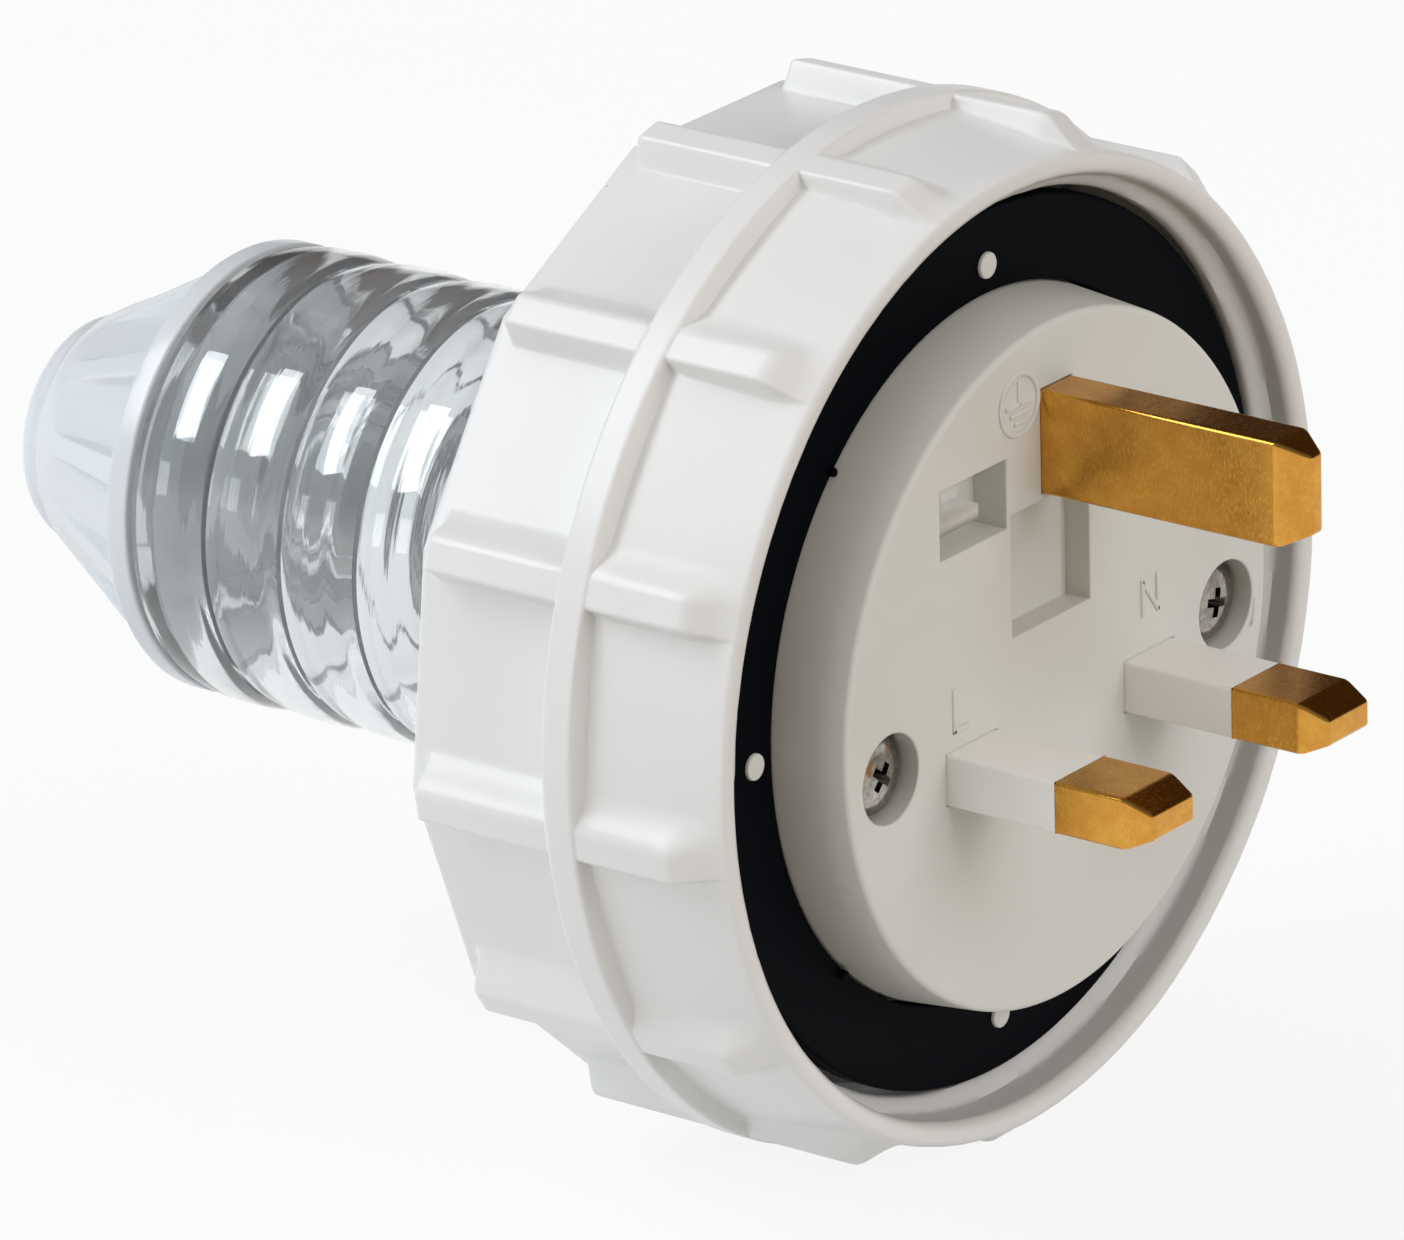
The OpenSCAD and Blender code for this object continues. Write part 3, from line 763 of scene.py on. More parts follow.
@dataclass
class LockingRing:
    """Loose screwed ring: flat panels between grip ribs, a raised band and a coarse thread inside."""

    ribs: int = 13
    first_rib: float = 270.0
    front: float = 2.9
    back: float = 31.2
    rim_edge: float = 0.5
    rim_wall: float = 1.0
    rim_gap: float = 0.03
    # The panels in front of the band grow towards it and bulge a little behind the rim.
    panel: float = 36.95
    panel_taper: float = 0.09
    panel_crown: float = 0.35
    crown_run: float = 7.0
    panel_behind: float = 36.3
    # A rib's widths are measured flat, at this radius: a ramp leads up to its top, and the other side is steep.
    rib_radius: float = 38.0
    rib_top: float = 39.3
    rib_half: float = 1.35
    rib_edge: float = 0.4
    rib_ramp: float = 2.4
    rib_ease: float = 0.25
    rib_wall: float = 3.75
    rib_wall_run: float = 0.5
    rib_foot: float = 0.6
    rib_reach: float = 6.6
    rib_slope: float = 0.85
    rib_slope_end: float = 6.4
    rib_slope_ease: float = 0.6
    rib_back: float = 29.4
    rib_back_wall: float = 5.0
    band: float = 39.45
    band_half: float = 1.35
    band_middle: float = 16.1
    band_edge: float = 0.35
    band_wall: float = 6.0
    band_foot: float = 1.0
    band_crossing: float = 0.12
    # The bore's rounded mouth, its threaded length, the stop behind it and the skirt.
    mouth: tuple[Pair, ...] = ((36.5, 2.9), (36.1, 2.9), (35.75, 2.98), (35.45, 3.2))
    bore: float = 35.2
    bore_front: float = 3.6
    bore_back: float = 15.4
    bore_corner: float = 0.3
    bore_steps: int = 40
    stop: float = 29.9
    stop_back: float = 18.4
    stop_corner: float = 0.2
    stop_edge: float = 0.3
    skirt_bore: float = 33.9
    skirt_edge: float = 0.4
    thread_pitch: float = 4.0
    thread_height: float = 1.1
    thread_crest: float = 0.45
    thread_root: float = 1.5
    thread_start: float = 4.7
    thread_turns: float = 2.3
    thread_run_out: float = 0.02
    thread_start_angle: float = 180.0
    # The outside is swept at this radius and then moulded to shape.
    seed: float = 45.0

    def depths(self) -> list[float]:
        """Depths at which the outside is sampled, close together where it turns.

        Returns:
            The depths, from back to front.
        """
        turns = (self.front, self.rib_slope_end, self.band_middle - self.band_half,
                 self.band_middle + self.band_half, self.rib_back, self.back)
        return clustered(turns, self.front + self.rim_gap, self.back, PLAIN_REACH)[::-1]

    def angles(self) -> list[float]:
        """Angles from a rib at which a sector is sampled, close together on the rib's ramp and on its steep side.

        Returns:
            The angles in radians, over one sector.
        """
        ramp_turns = [self.rib_half + self.rib_ramp * share for share in (0.0, 0.5, 1.0)]
        wall_turns = (self.rib_half, self.rib_half + self.rib_wall_run)
        sides = (clustered(turns, 0.0, self.rib_reach, PLAIN_REACH) for turns in (ramp_turns, wall_turns))
        low, high = ([math.atan(a / self.rib_radius) for a in side] + [math.pi / self.ribs] for side in sides)
        return [-a for a in reversed(low[1:])] + high

    def panel_at(self, turn: float, depth: float) -> float:
        """Radius of the panels between the ribs.

        Args:
            turn: angle from the nearest rib, in radians.
            depth: depth behind the carrier's face.

        Returns:
            The radius.
        """
        flat = 1 / math.cos(math.pi / self.ribs - abs(turn)) - 1
        panel = self.panel_behind * (1 + flat)
        behind = depth - self.front
        if depth < self.band_middle:
            crown = self.panel_crown * min(1.0, behind / self.crown_run)
            panel = (self.panel + self.panel_taper * behind) * (1 + crown * flat)
        return panel - (edge_drop(self.back - depth, self.rim_edge, self.rim_wall)
                        + edge_drop(behind, self.rim_edge, self.rim_wall))

    def outside(self, radius: float, turn: float, depth: float) -> float:
        """Radius of the ring, with the panels, ribs and band on its outside.

        Args:
            radius: radius as swept; inside the seed it stays as it is.
            turn: angle from the nearest rib, in radians.
            depth: depth behind the carrier's face.

        Returns:
            The radius.
        """
        if radius < self.seed - 1:
            return radius
        panel = self.panel_at(turn, depth)
        band = self.band - edge_drop(self.band_half - abs(depth - self.band_middle), self.band_edge, self.band_wall)
        across = self.rib_radius * math.tan(turn)
        slope = self.rib_slope * smooth_max(self.rib_slope_end - depth, 0.0, self.rib_slope_ease)
        top = self.rib_top / math.cos(turn) - slope
        top -= edge_drop(self.rib_back - depth, self.rib_edge, self.rib_back_wall)
        top -= edge_drop(self.rib_half - across, self.rib_edge, self.rib_wall)
        rise = -1 - (self.rib_half + across) / self.rib_ramp
        share = max(0.0, -smooth_max(-1.0, rise, self.rib_ease))
        rib = panel + (smooth_max(panel, top, self.rib_foot) - panel) * share * share
        return max(smooth_max(panel, band, self.band_foot), smooth_max(rib, band, self.band_crossing))

    def inside(self) -> Outline:
        """Section of the inside, from the rim through the bore and past the stop to the back.

        Returns:
            Points of radius and depth.
        """
        step = (self.bore_back - self.bore_corner - self.bore_front) / self.bore_steps
        bore = [(self.bore, self.bore_front + step * i) for i in range(self.bore_steps + 1)]
        # The last corner only gives the line before it its direction, so its curve is left out.
        stop = soft_outline([
            (self.bore, self.bore_back, self.stop_corner), (self.stop, self.bore_back, self.stop_edge),
            (self.stop, self.stop_back, self.stop_edge), (self.skirt_bore, self.stop_back, self.skirt_edge),
            (self.skirt_bore, self.back, self.skirt_edge)], 3)[:-4]
        inset = self.skirt_edge / 4
        edge = [(self.skirt_bore, self.back - self.skirt_edge), (self.skirt_bore + inset, self.back - inset),
                (self.skirt_bore + self.skirt_edge, self.back)]
        return [*self.mouth, *bore, *stop, *edge]

    def thread(self, angle: float, depth: float) -> float:
        """Height of the thread's ridge on the bore.

        Args:
            angle: angle round the axis, in radians.
            depth: depth behind the carrier's face.

        Returns:
            The height, which is zero between the turns.
        """
        part = (math.radians(self.thread_start_angle) - angle) / math.tau % 1.0
        height = 0.0
        for whole in range(math.ceil(self.thread_turns)):
            turns = whole + part
            ends = min(turns, self.thread_turns - turns) / self.thread_run_out
            away = abs(depth - self.thread_start - self.thread_pitch * turns)
            flank = (self.thread_root - away) / (self.thread_root - self.thread_crest)
            height = max(height, self.thread_height * max(0.0, min(1.0, flank, ends)))
        return height

    def build(self) -> bpy.types.Object:
        """Builds the ring: one sector is swept, moulded to shape and repeated, and the thread is raised.

        Returns:
            The piece.
        """
        outer = [(self.seed, depth) for depth in self.depths()]
        bm = mould_sector(outer + self.inside(), self.angles(), self.outside)
        roll(bm, math.radians(self.first_rib))
        repeat_sector(bm, self.ribs)
        for v in bm.verts:
            radius, angle, depth = polar(v.co)
            if abs(radius - self.bore) < SAME and depth < self.bore_back:
                v.co = place(radius - self.thread(angle, depth), angle, depth)
        bmesh.ops.recalc_face_normals(bm, faces=bm.faces)
        return make_piece("ribbed_locking_ring", bm, Body.RING, Slot.RING, "locking_ring")


@dataclass
class RearHousing:
    """Clear moulded housing: front flange, cup, shoulder, banded tube and screwed spout."""

    flange: float = 33.2
    flange_front: float = 11.1
    flange_back: float = 15.1
    cup: float = 29.5
    cup_back: float = 30.5
    cup_bore: float = 27.5
    cup_bore_back: float = 26.5
    shoulder_round: float = 4.0
    tube_front: float = 37.5
    tube_back: float = 73.25
    tube: float = 17.6
    tube_foot: float = 1.6
    groove: float = 0.45
    notch: float = 0.28
    notch_half: float = 0.22
    bands: int = 5
    tube_bore: float = 15.1
    tube_bore_front: float = 35.5
    # Height and length of each wave of the bore, where the waves start, and the depth between two points.
    ripples: tuple[Pair, ...] = ((0.016, 2.3), (0.024, 3.7))
    ripple_front: float = 37.0
    ripple_step: float = 0.4
    boss: float = 10.6
    boss_front: float = 69.25
    end_wall: float = 72.0
    end_chamfer: float = 0.5
    spout: float = 10.8
    spout_back: float = 80.25
    spout_edge: float = 0.3
    spout_pitch: float = 2.0
    spout_thread: float = 0.25
    spout_step: float = 0.25
    spout_steps: int = 26
    # The thread fades out over a millimetre, this far from the tube's end and from the spout's end.
    thread_gaps: Pair = (0.6, 0.4)
    pocket: float = 8.35
    pocket_front: float = 70.75
    lip: float = 6.2
    seal_inner: float = 29.35
    seal_outer: float = 31.35
    seal_back: float = 12.6
    edge: float = 0.3
    fillet: float = 0.4
    fine_edge: float = 0.1
    corner: float = 0.2
    bore_round: float = 1.2
    cup_round: float = 1.5
    post_x: float = 21.0
    post_z: float = -2.4
    post: float = 4.3
    post_front: float = 16.1
    post_end: float = 33.1
    post_end_slope: float = 0.6
    screw_hole: float = 1.8
    screw_end: float = 25.2

    def bands_outline(self) -> Outline:
        """Outside of the tube: one shallow curve for each band, with a narrow notch between.

        Returns:
            Points of radius and depth, from front to back.
        """
        pitch = (self.tube_back - self.tube_front) / self.bands
        points: Outline = []
        for depth in clustered([self.tube_front + i * pitch for i in range(self.bands + 1)],
                               self.tube_front, self.tube_back, FINE_REACH)[:-1]:
            part = (depth - self.tube_front) / pitch % 1.0
            away = min(part, 1.0 - part) * pitch
            radius = self.tube - self.groove * (2 * part - 1) ** 2
            points.append((radius - self.notch * max(0.0, 1 - away / self.notch_half), depth))
        return points

    def ripples_outline(self) -> Outline:
        """Bore of the tube, with the slow uneven waves that the mould core left.

        Returns:
            Points of radius and depth, from back to front.
        """
        back = self.end_wall - self.end_chamfer
        run = back - self.ripple_front
        count = round(run / self.ripple_step)
        depths = [back - run * k / count for k in range(count + 1)]
        return [(self.tube_bore + sum(height * math.sin(math.tau * depth / length) for height, length in self.ripples),
                 depth) for depth in depths]

    def outline(self) -> Outline:
        """Section of the whole housing, outside from front to back and then inside.

        Returns:
            Points of radius and depth.
        """
        neck = self.tube - self.groove - self.notch
        front = soft_outline([
            (self.seal_outer, self.flange_front, self.fine_edge), (self.flange, self.flange_front, self.edge),
            (self.flange, self.flange_back, self.edge), (self.cup, self.flange_back, self.fillet),
            (self.cup, self.cup_back, self.shoulder_round), (neck, self.tube_front, self.tube_foot)], 5)[1:-1]
        end = [(neck, self.tube_back - self.corner), (neck - self.corner, self.tube_back)]
        end += [(self.spout, self.tube_back + self.spout_step * k) for k in range(self.spout_steps + 1)]
        back = soft_outline([
            (self.spout - self.spout_edge, self.spout_back, self.fine_edge), (self.pocket, self.spout_back, self.edge),
            (self.pocket, self.pocket_front, self.corner), (self.lip, self.pocket_front, self.edge),
            (self.lip, self.boss_front, self.edge), (self.boss, self.boss_front, self.fillet),
            (self.boss, self.end_wall, self.edge), (self.tube_bore - self.end_chamfer, self.end_wall, 0.0)], 4)[1:]
        cup = soft_outline([
            (self.tube_bore, self.tube_bore_front, self.bore_round),
            (self.cup_bore, self.cup_bore_back, self.cup_round),
            (self.cup_bore, self.flange_front, self.edge), (self.seal_inner, self.flange_front, self.fine_edge),
            (self.seal_inner, self.seal_back, self.fine_edge), (self.seal_outer, self.seal_back, self.fine_edge),
            (self.seal_outer, self.flange_front, self.fine_edge)], 4)
        return front + self.bands_outline() + end + back + self.ripples_outline() + cup

    def raise_thread(self, bm: Shape) -> None:
        """Raises the gland's thread on the spout.

        Args:
            bm: the swept housing.
        """
        front_gap, back_gap = self.thread_gaps
        for v in bm.verts:
            radius, angle, depth = polar(v.co)
            if abs(radius - self.spout) > SAME:
                continue
            wave = 0.5 + 0.5 * math.cos(math.tau * (depth / self.spout_pitch) + angle)
            ends = max(0.0, min(1.0, depth - self.tube_back - front_gap, self.spout_back - depth - back_gap))
            v.co = place(radius + self.spout_thread * wave * ends, angle, depth)

    def rods(self, radius: float, start: float, end: float, slope: float = 0.0) -> Shape:
        """Two round rods at the places of the screws.

        Args:
            radius: radius of each rod.
            start: depth of its front end.
            end: depth of its back end.
            slope: slant of the back end, which is shorter away from the plug axis.

        Returns:
            Both rods as one shape.
        """
        both = bmesh.new()
        for side in (-1, 1):
            rod = revolve([(0.0, start), (radius, start), (radius, end), (0.0, end)], ROD_STEPS)
            shift(rod, side * self.post_x, self.post_z)
            for v in rod.verts:
                if v.co.y > start * MM + MERGE:
                    v.co.y -= slope * (math.hypot(v.co.x, v.co.z) - self.post_x * MM)
            add_shape(both, rod)
        return both

    def build(self) -> bpy.types.Object:
        """Builds the housing with its two screw posts.

        Returns:
            The piece, which lets lamp light in, since the renderer doesn't pass it through clear plastic.
        """
        bm = revolve(self.outline(), HOUSING_STEPS)
        self.raise_thread(bm)
        bm = carve(bm, self.rods(self.post, self.post_front, self.post_end, self.post_end_slope), Carve.JOIN)
        bm = carve(bm, self.rods(self.screw_hole, self.post_front - 1, self.screw_end), Carve.CUT)
        housing = make_piece("clear_rear_housing", bm, Body.PLUG, Slot.CLEAR, "rear_housing")
        housing.modifiers.clear()
        housing.visible_shadow = False
        return housing


@dataclass
class GlandNut:
    """Fluted cone with a plain collar in front: sunk panels, deep at the collar, run out towards the round nose."""

    front: float = 73.4
    collar: float = 17.4
    collar_back: float = 75.4
    cone: float = 16.9
    cone_back: float = 88.3
    # The cone's sections lie closer together at the collar, by this power.
    cone_steps: int = 40
    cone_power: float = 1.35
    nose: float = 9.7
    nose_step: float = 0.6
    nose_round: float = 2.6
    back: float = 91.6
    hole: float = 5.5
    mouth: float = 1.0
    bore: float = 11.15
    bore_back: float = 82.25
    edge: float = 0.3
    corner: float = 0.2
    collar_edge: float = 0.4
    collar_foot: float = 0.1
    flutes: int = 12
    flute_depth: float = 1.9
    flute_start: float = 0.2
    flute_end: float = 86.9
    flute_half: float = 10.4
    flute_wall: float = 2.2
    # Angles from a panel's middle at which half a sector is sampled, close together on the panel's wall.
    stations: tuple[float, ...] = (0.0, 4.0, 7.5, 9.0, 9.4, 9.7, 10.0, 10.3, 10.6, 10.9, 11.2, 11.6, 13.0)

    def cone_outline(self) -> Outline:
        """Outside of the cone.

        Returns:
            Points of radius and depth, from the collar to the nose.
        """
        run = self.cone_back - self.collar_back
        shares = ((k / self.cone_steps) ** self.cone_power for k in range(self.cone_steps + 1))
        return [(self.cone + (self.nose - self.cone) * t, self.collar_back + run * t) for t in shares]

    def outline(self) -> Outline:
        """Section of the nut, outside from front to back and then inside.

        Returns:
            Points of radius and depth.
        """
        # Corners that only give a line its direction are left out at the ends.
        rim = soft_outline([(self.bore, self.front, self.edge), (self.collar, self.front, self.edge),
                            (self.collar, self.collar_back, self.collar_edge),
                            (self.cone, self.collar_back, self.collar_foot)], 4)[5:-1]
        middle = self.nose - self.nose_step - self.nose_round
        nose = [(middle + self.nose_round * math.cos(a), self.back - self.nose_round * (1 - math.sin(a)))
                for a in QUARTER_TURN]
        inside = soft_outline([(self.hole, self.back, self.mouth), (self.hole, self.bore_back, self.corner),
                               (self.bore, self.bore_back, self.corner), (self.bore, self.front, self.edge),
                               (self.collar, self.front, self.edge)], 5)[:-6]
        return rim + self.cone_outline() + nose + inside

    def sunk(self, radius: float, angle: float, depth: float) -> float:
        """Radius of the nut where a flat panel is sunk in the cone.

        Args:
            radius: radius as swept; it stays as it is off the cone and outside the panel.
            angle: angle from the panel's middle, in radians.
            depth: depth behind the carrier's face.

        Returns:
            The radius.
        """
        share = (depth - self.collar_back) / (self.cone_back - self.collar_back)
        on_cone = abs(radius - self.cone - (self.nose - self.cone) * share) < SAME
        if not (0.0 < share < 1.0 and on_cone):
            return radius
        along = (self.flute_end - depth) / (self.flute_end - self.collar_back)
        start = (depth - self.collar_back) / self.flute_start
        floor = (radius - self.flute_depth * max(0.0, min(along, start))) / math.cos(angle)
        across = (self.flute_half - abs(math.degrees(angle))) / self.flute_wall + 0.5
        across = max(0.0, min(1.0, across))
        return radius - max(0.0, radius - floor) * across * across * (3 - 2 * across)

    def build(self) -> bpy.types.Object:
        """Builds the nut: one sector is swept, its panel is sunk, and it is repeated round the axis.

        Returns:
            The piece.
        """
        half = [math.radians(a) for a in (*self.stations, 180.0 / self.flutes)]
        bm = mould_sector(self.outline(), [-a for a in reversed(half[1:])] + half, self.sunk)
        repeat_sector(bm, self.flutes)
        bmesh.ops.recalc_face_normals(bm, faces=bm.faces)
        return make_piece("fluted_gland_nut", bm, Body.NUT, Slot.NUT, "gland_nut")


@dataclass
class CarrierMarks:
    """Raised marks on the carrier's face: the earth symbol and the letters of the two other pins."""

    proud: float = 0.18
    stroke: float = 0.42
    stroke_ease: float = 0.12
    earth_x: float = -4.7
    earth_z: float = 21.2
    earth_radius: float = 2.3
    earth_ease: float = 0.1
    # From the symbol's middle: top and bottom of its stem, then half the length and the drop of each bar.
    earth_stem: Pair = (1.6, 0.1)
    earth_bars: tuple[Pair, ...] = ((1.45, 0.0), (0.95, 0.7), (0.45, 1.4))
    # Corners of the letters on the face, in X and Z.
    live: tuple[Pair, ...] = ((-13.3, 1.9), (-13.3, -1.2), (-11.7, -1.2))
    neutral: tuple[Pair, ...] = ((10.3, 0.2), (10.3, 2.8), (12.2, 0.2), (12.2, 2.8))

    def bar(self, start: Pair, end: Pair) -> Shape:
        """One raised stroke.

        Args:
            start: X and Z of its first end.
            end: X and Z of its second end.

        Returns:
            The stroke.
        """
        run = Vector(end) - Vector(start)
        bm = box((run.length + self.stroke, 2 * self.proud, self.stroke), ORIGIN, self.stroke_ease)
        roll(bm, math.atan2(run.y, run.x))
        shift(bm, *((Vector(start) + Vector(end)) / 2))
        return bm

    def shapes(self) -> list[Shape]:
        """All strokes of the marks.

        Returns:
            The circle of the earth symbol, its stem and bars, and the letters' strokes.
        """
        inner, outer = self.earth_radius - self.stroke / 2, self.earth_radius + self.stroke / 2
        circle = revolve(soft_outline([(inner, -self.proud, self.earth_ease), (outer, -self.proud, self.earth_ease),
                                       (outer, self.proud, 0.0), (inner, self.proud, 0.0)], 2), ROD_STEPS)
        x, z = self.earth_x, self.earth_z
        shift(circle, x, z)
        top, bottom = self.earth_stem
        strokes = [((x, z + top), (x, z + bottom))]
        strokes += [((x - reach, z - drop), (x + reach, z - drop)) for reach, drop in self.earth_bars]
        for letter in (self.live, self.neutral):
            strokes += zip(letter, letter[1:])
        return [circle, *(self.bar(start, end) for start, end in strokes)]


@dataclass
class CarrierScrews:
    """Two cross-headed screws in the wells of the carrier's face."""

    x: float = 21.0
    z: float = -2.4
    seat: float = 4.2
    head: float = 3.0
    head_height: float = 3.4
    head_dome: float = 0.8
    shank: float = 1.75
    length: float = 20.0
    tip: float = 0.4
    tip_length: float = 1.2
    slot_width: float = 0.9
    slot_reach: float = 1.9
    slot_floor: float = 2.4
    slot_height: float = 4.0
    # Shares of the cross that are left at its floor, in X, depth and Z.
    slot_taper: Triple = (0.35, 1.0, 0.6)
    turns: Pair = (38.0, 12.0)

    def slot(self, turn: float) -> Shape:
        """One arm of the cross, which narrows towards its floor.

        Args:
            turn: angle of the arm, in degrees from +Z towards +X.

        Returns:
            The shape that is cut out of the head.
        """
        arm = box((2 * self.slot_reach, self.slot_height, self.slot_width),
                  (0, self.slot_floor - self.slot_height / 2, 0))
        low = [v for v in arm.verts if v.co.y > (self.slot_floor - 1) * MM]
        bmesh.ops.scale(arm, vec=self.slot_taper, verts=low)
        roll(arm, -math.radians(turn))
        return arm

    def build(self) -> bpy.types.Object:
        """Builds both screws, each with its cross turned its own way.

        Returns:
            The piece.
        """
        bm = bmesh.new()
        top, end = self.seat - self.head_height, self.seat + self.length
        dome = [(self.head * math.sin(a), top + self.head_dome * (1 - math.cos(a))) for a in QUARTER_TURN]
        body = [(self.head, self.seat), (self.shank, self.seat), (self.shank, end - self.tip_length),
                (self.tip, end), (0.0, end)]
        for side, turn in zip((-1, 1), self.turns):
            screw = revolve(dome + body, ROD_STEPS)
            for across in (0.0, 90.0):
                screw = carve(screw, self.slot(turn + across), Carve.CUT)
            shift(screw, side * self.x, self.z)
            add_shape(bm, screw)
        return make_piece("cross_head_screws", bm, Body.PLUG, Slot.STEEL, "carrier_screws")


@dataclass
class FaceGasket:
    """Flat rubber ring on the carrier's flange, with small nibs at its inner edge."""

    inner: float = 27.05
    outer: float = 33.5
    front: float = 6.1
    back: float = 8.1
    outer_ease: float = 0.35
    inner_ease: float = 0.15
    nibs: int = 4
    nib: float = 0.35
    nib_height: float = 0.5
    nib_root: float = 0.5
    nib_ease: float = 0.12

    def build(self) -> bpy.types.Object:
        """Builds the gasket.

        Returns:
            The piece.
        """
        bm = revolve(soft_outline([
            (self.inner, self.front, self.inner_ease), (self.outer, self.front, self.outer_ease),
            (self.outer, self.back, self.outer_ease), (self.inner, self.back, self.inner_ease)]), ROUND_STEPS)
        top, root = self.front - self.nib_height, self.front + self.nib_root
        for i in range(self.nibs):
            nib = revolve(soft_outline([(0.0, top, 0.0), (self.nib, top, self.nib_ease),
                                        (self.nib, root, 0.0), (0.0, root, 0.0)]), NIB_STEPS)
            bmesh.ops.translate(nib, vec=place(self.inner + self.nib, math.tau * (i + 0.5) / self.nibs, 0.0),
                                verts=nib.verts)
            add_shape(bm, nib)
        return make_piece("rubber_face_gasket", bm, Body.PLUG, Slot.RUBBER, "face_gasket")


@dataclass
class PinCarrier:
    """Round front with the pins' slots: the CAD form with a smooth turned side, eased edges and raised marks."""

    face: float = 26.2
    base: float = 27.0
    side_back: float = 8.1
    side_foot: float = 0.3
    side_inner: float = 24.9
    cavity: float = 25.3
    wall_back: float = 3.95
    face_ease: float = 0.5
    ease: float = 0.15
    # How far the tool that cuts off the old side reaches past the face and the side.
    trim: float = 1.0
    # Edges this close to the cut stay sharp.
    cut_margin: float = 0.05

    def build(self, frame: dict[str, Any]) -> bpy.types.Object:
        """Builds the carrier: the faceted side of the copy is cut off and a turned one set in its place.

        Args:
            frame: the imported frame.

        Returns:
            The piece.
        """
        cut_back, foot = self.side_back - self.side_foot, self.side_back + self.side_foot
        old_side = revolve([(self.side_inner, -self.trim), (self.base + self.trim, -self.trim),
                            (self.base + self.trim, cut_back), (self.side_inner, cut_back)], ROUND_STEPS)
        bm = carve(merged_copy(frame["nodes"]["pin_carrier"]), old_side, Carve.CUT)
        edges = [e for e in bm.edges if is_picked(e, Edges.FRONT)
                 and all(abs(polar(v.co)[0] - self.side_inner) > self.cut_margin for v in e.verts)]
        round_edges(bm, edges, self.ease, 2)
        add_shape(bm, revolve(soft_outline([
            (self.side_inner, 0.0, 0.0), (self.face, 0.0, self.face_ease), (self.base, self.side_back, 0.0),
            (self.base, foot, 0.0), (self.cavity, foot, 0.0), (self.cavity, self.wall_back, 0.0),
            (self.side_inner, self.wall_back, 0.0)], 5), ROUND_STEPS))
        for shape in CarrierMarks().shapes():
            add_shape(bm, shape)
        return make_piece("moulded_pin_carrier", bm, Body.PLUG, Slot.CARRIER, "pin_carrier")


@dataclass(frozen=True)
class PinSleeve:
    """An insulating sleeve: the CAD form with its long edges rounded."""

    name: str
    node: str
    ease: float = 0.3

    def build(self, frame: dict[str, Any]) -> bpy.types.Object:
        """Builds the rounded copy, which stands for the node.

        Args:
            frame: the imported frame.

        Returns:
            The piece.
        """
        bm = merged_copy(frame["nodes"][self.node])
        round_edges(bm, [e for e in bm.edges if is_picked(e, Edges.ALONG)], self.ease, 2)
        return make_piece(self.name, bm, Body.PLUG, Slot.SLEEVE, self.node)


@dataclass(frozen=True)
class BrassPin:
    """A flat pin with rounded edges and a sloped tip, on the CAD node's own tail and terminal."""

    name: str
    node: str
    x: float
    z: float
    width: float
    height: float
    start: float
    end: float
    tip_across: float
    tip: float = 2.2
    tip_down: float = 1.0
    ease: float = 0.3
    # How far the pin reaches into its tail.
    overlap: float = 0.05

    def build(self, frame: dict[str, Any]) -> bpy.types.Object:
        """Builds the pin and sets it on its tail.

        Args:
            frame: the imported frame.

        Returns:
            The piece.
        """
        length = self.start - self.end - self.tip
        bm = box((self.width, length, self.height), (0, self.start - length / 2, 0))
        front = min(bm.faces, key=lambda f: f.calc_center_median().y)
        tip = bmesh.ops.extrude_discrete_faces(bm, faces=[front])["faces"][0]
        bmesh.ops.translate(bm, vec=(0, -self.tip * MM, 0), verts=tip.verts)
        bmesh.ops.scale(bm, vec=(1 - 2 * self.tip_across / self.width, 1, 1 - 2 * self.tip_down / self.height),
                        verts=tip.verts)
        edges = [e for e in bm.edges if min(v.co.y for v in e.verts) < (self.start - SAME) * MM]
        round_edges(bm, edges, self.ease, 3)
        shift(bm, self.x, self.z)
        tail = merged_copy(frame["nodes"][self.node])
        bmesh.ops.bisect_plane(tail, geom=tail.verts[:] + tail.edges[:] + tail.faces[:],
                               plane_co=(0, (self.start - self.overlap) * MM, 0), plane_no=(0, 1, 0), clear_inner=True)
        bmesh.ops.holes_fill(tail, edges=[e for e in tail.edges if e.is_boundary])
        add_shape(bm, tail)
        return make_piece(self.name, bm, Body.PLUG, Slot.BRASS, self.node)


LINE_PIN = {"z": -4.75, "width": 6.35, "height": 4.0, "start": -9.5, "end": -17.7, "tip_across": 0.6}

# Pieces that start from a copy of their CAD node.
COPIED_PIECES = (
    PinCarrier(),
    PinSleeve("live_sleeve", "live_pin_sleeve"),
    PinSleeve("neutral_sleeve", "neutral_pin_sleeve"),
    BrassPin("brass_earth_pin", "earth_pin", x=0.0, z=17.48, width=4.0, height=8.0, start=3.0, end=-22.73,
             tip_across=1.35),
    BrassPin("brass_live_pin", "live_pin", x=-11.115, **LINE_PIN),
    BrassPin("brass_neutral_pin", "neutral_pin", x=11.115, **LINE_PIN),
)

# CAD nodes that stay in view.
KEPT_NODES = {
    "housing_seal": Slot.RUBBER,
    "live_fuse_clip": Slot.BRASS,
    "load_fuse_clip": Slot.BRASS,
    "live_terminal": Slot.BRASS,
    "fuse_barrel": Slot.CERAMIC,
    "fuse_caps": Slot.STEEL,
    "terminal_screws": Slot.STEEL,
    "cord_clamp": Slot.CARRIER,
    "cord_clamp_screws": Slot.STEEL,
    "gland_seal": Slot.SEAL,
    "gland_washer": Slot.NUT,
}


def dress_node(node: bpy.types.Object, slot: Slot) -> None:
    """Gives a CAD node that stays in view its finish.

    Args:
        node: the node's object.
        slot: the slot that gives its finish.
    """
    if not node.material_slots:
        node.data.materials.append(FINISHES[slot])
    for holder in node.material_slots:
        holder.material = FINISHES[slot]
    log.info("%s: finished as %s", node.name, slot.value)


# The studio


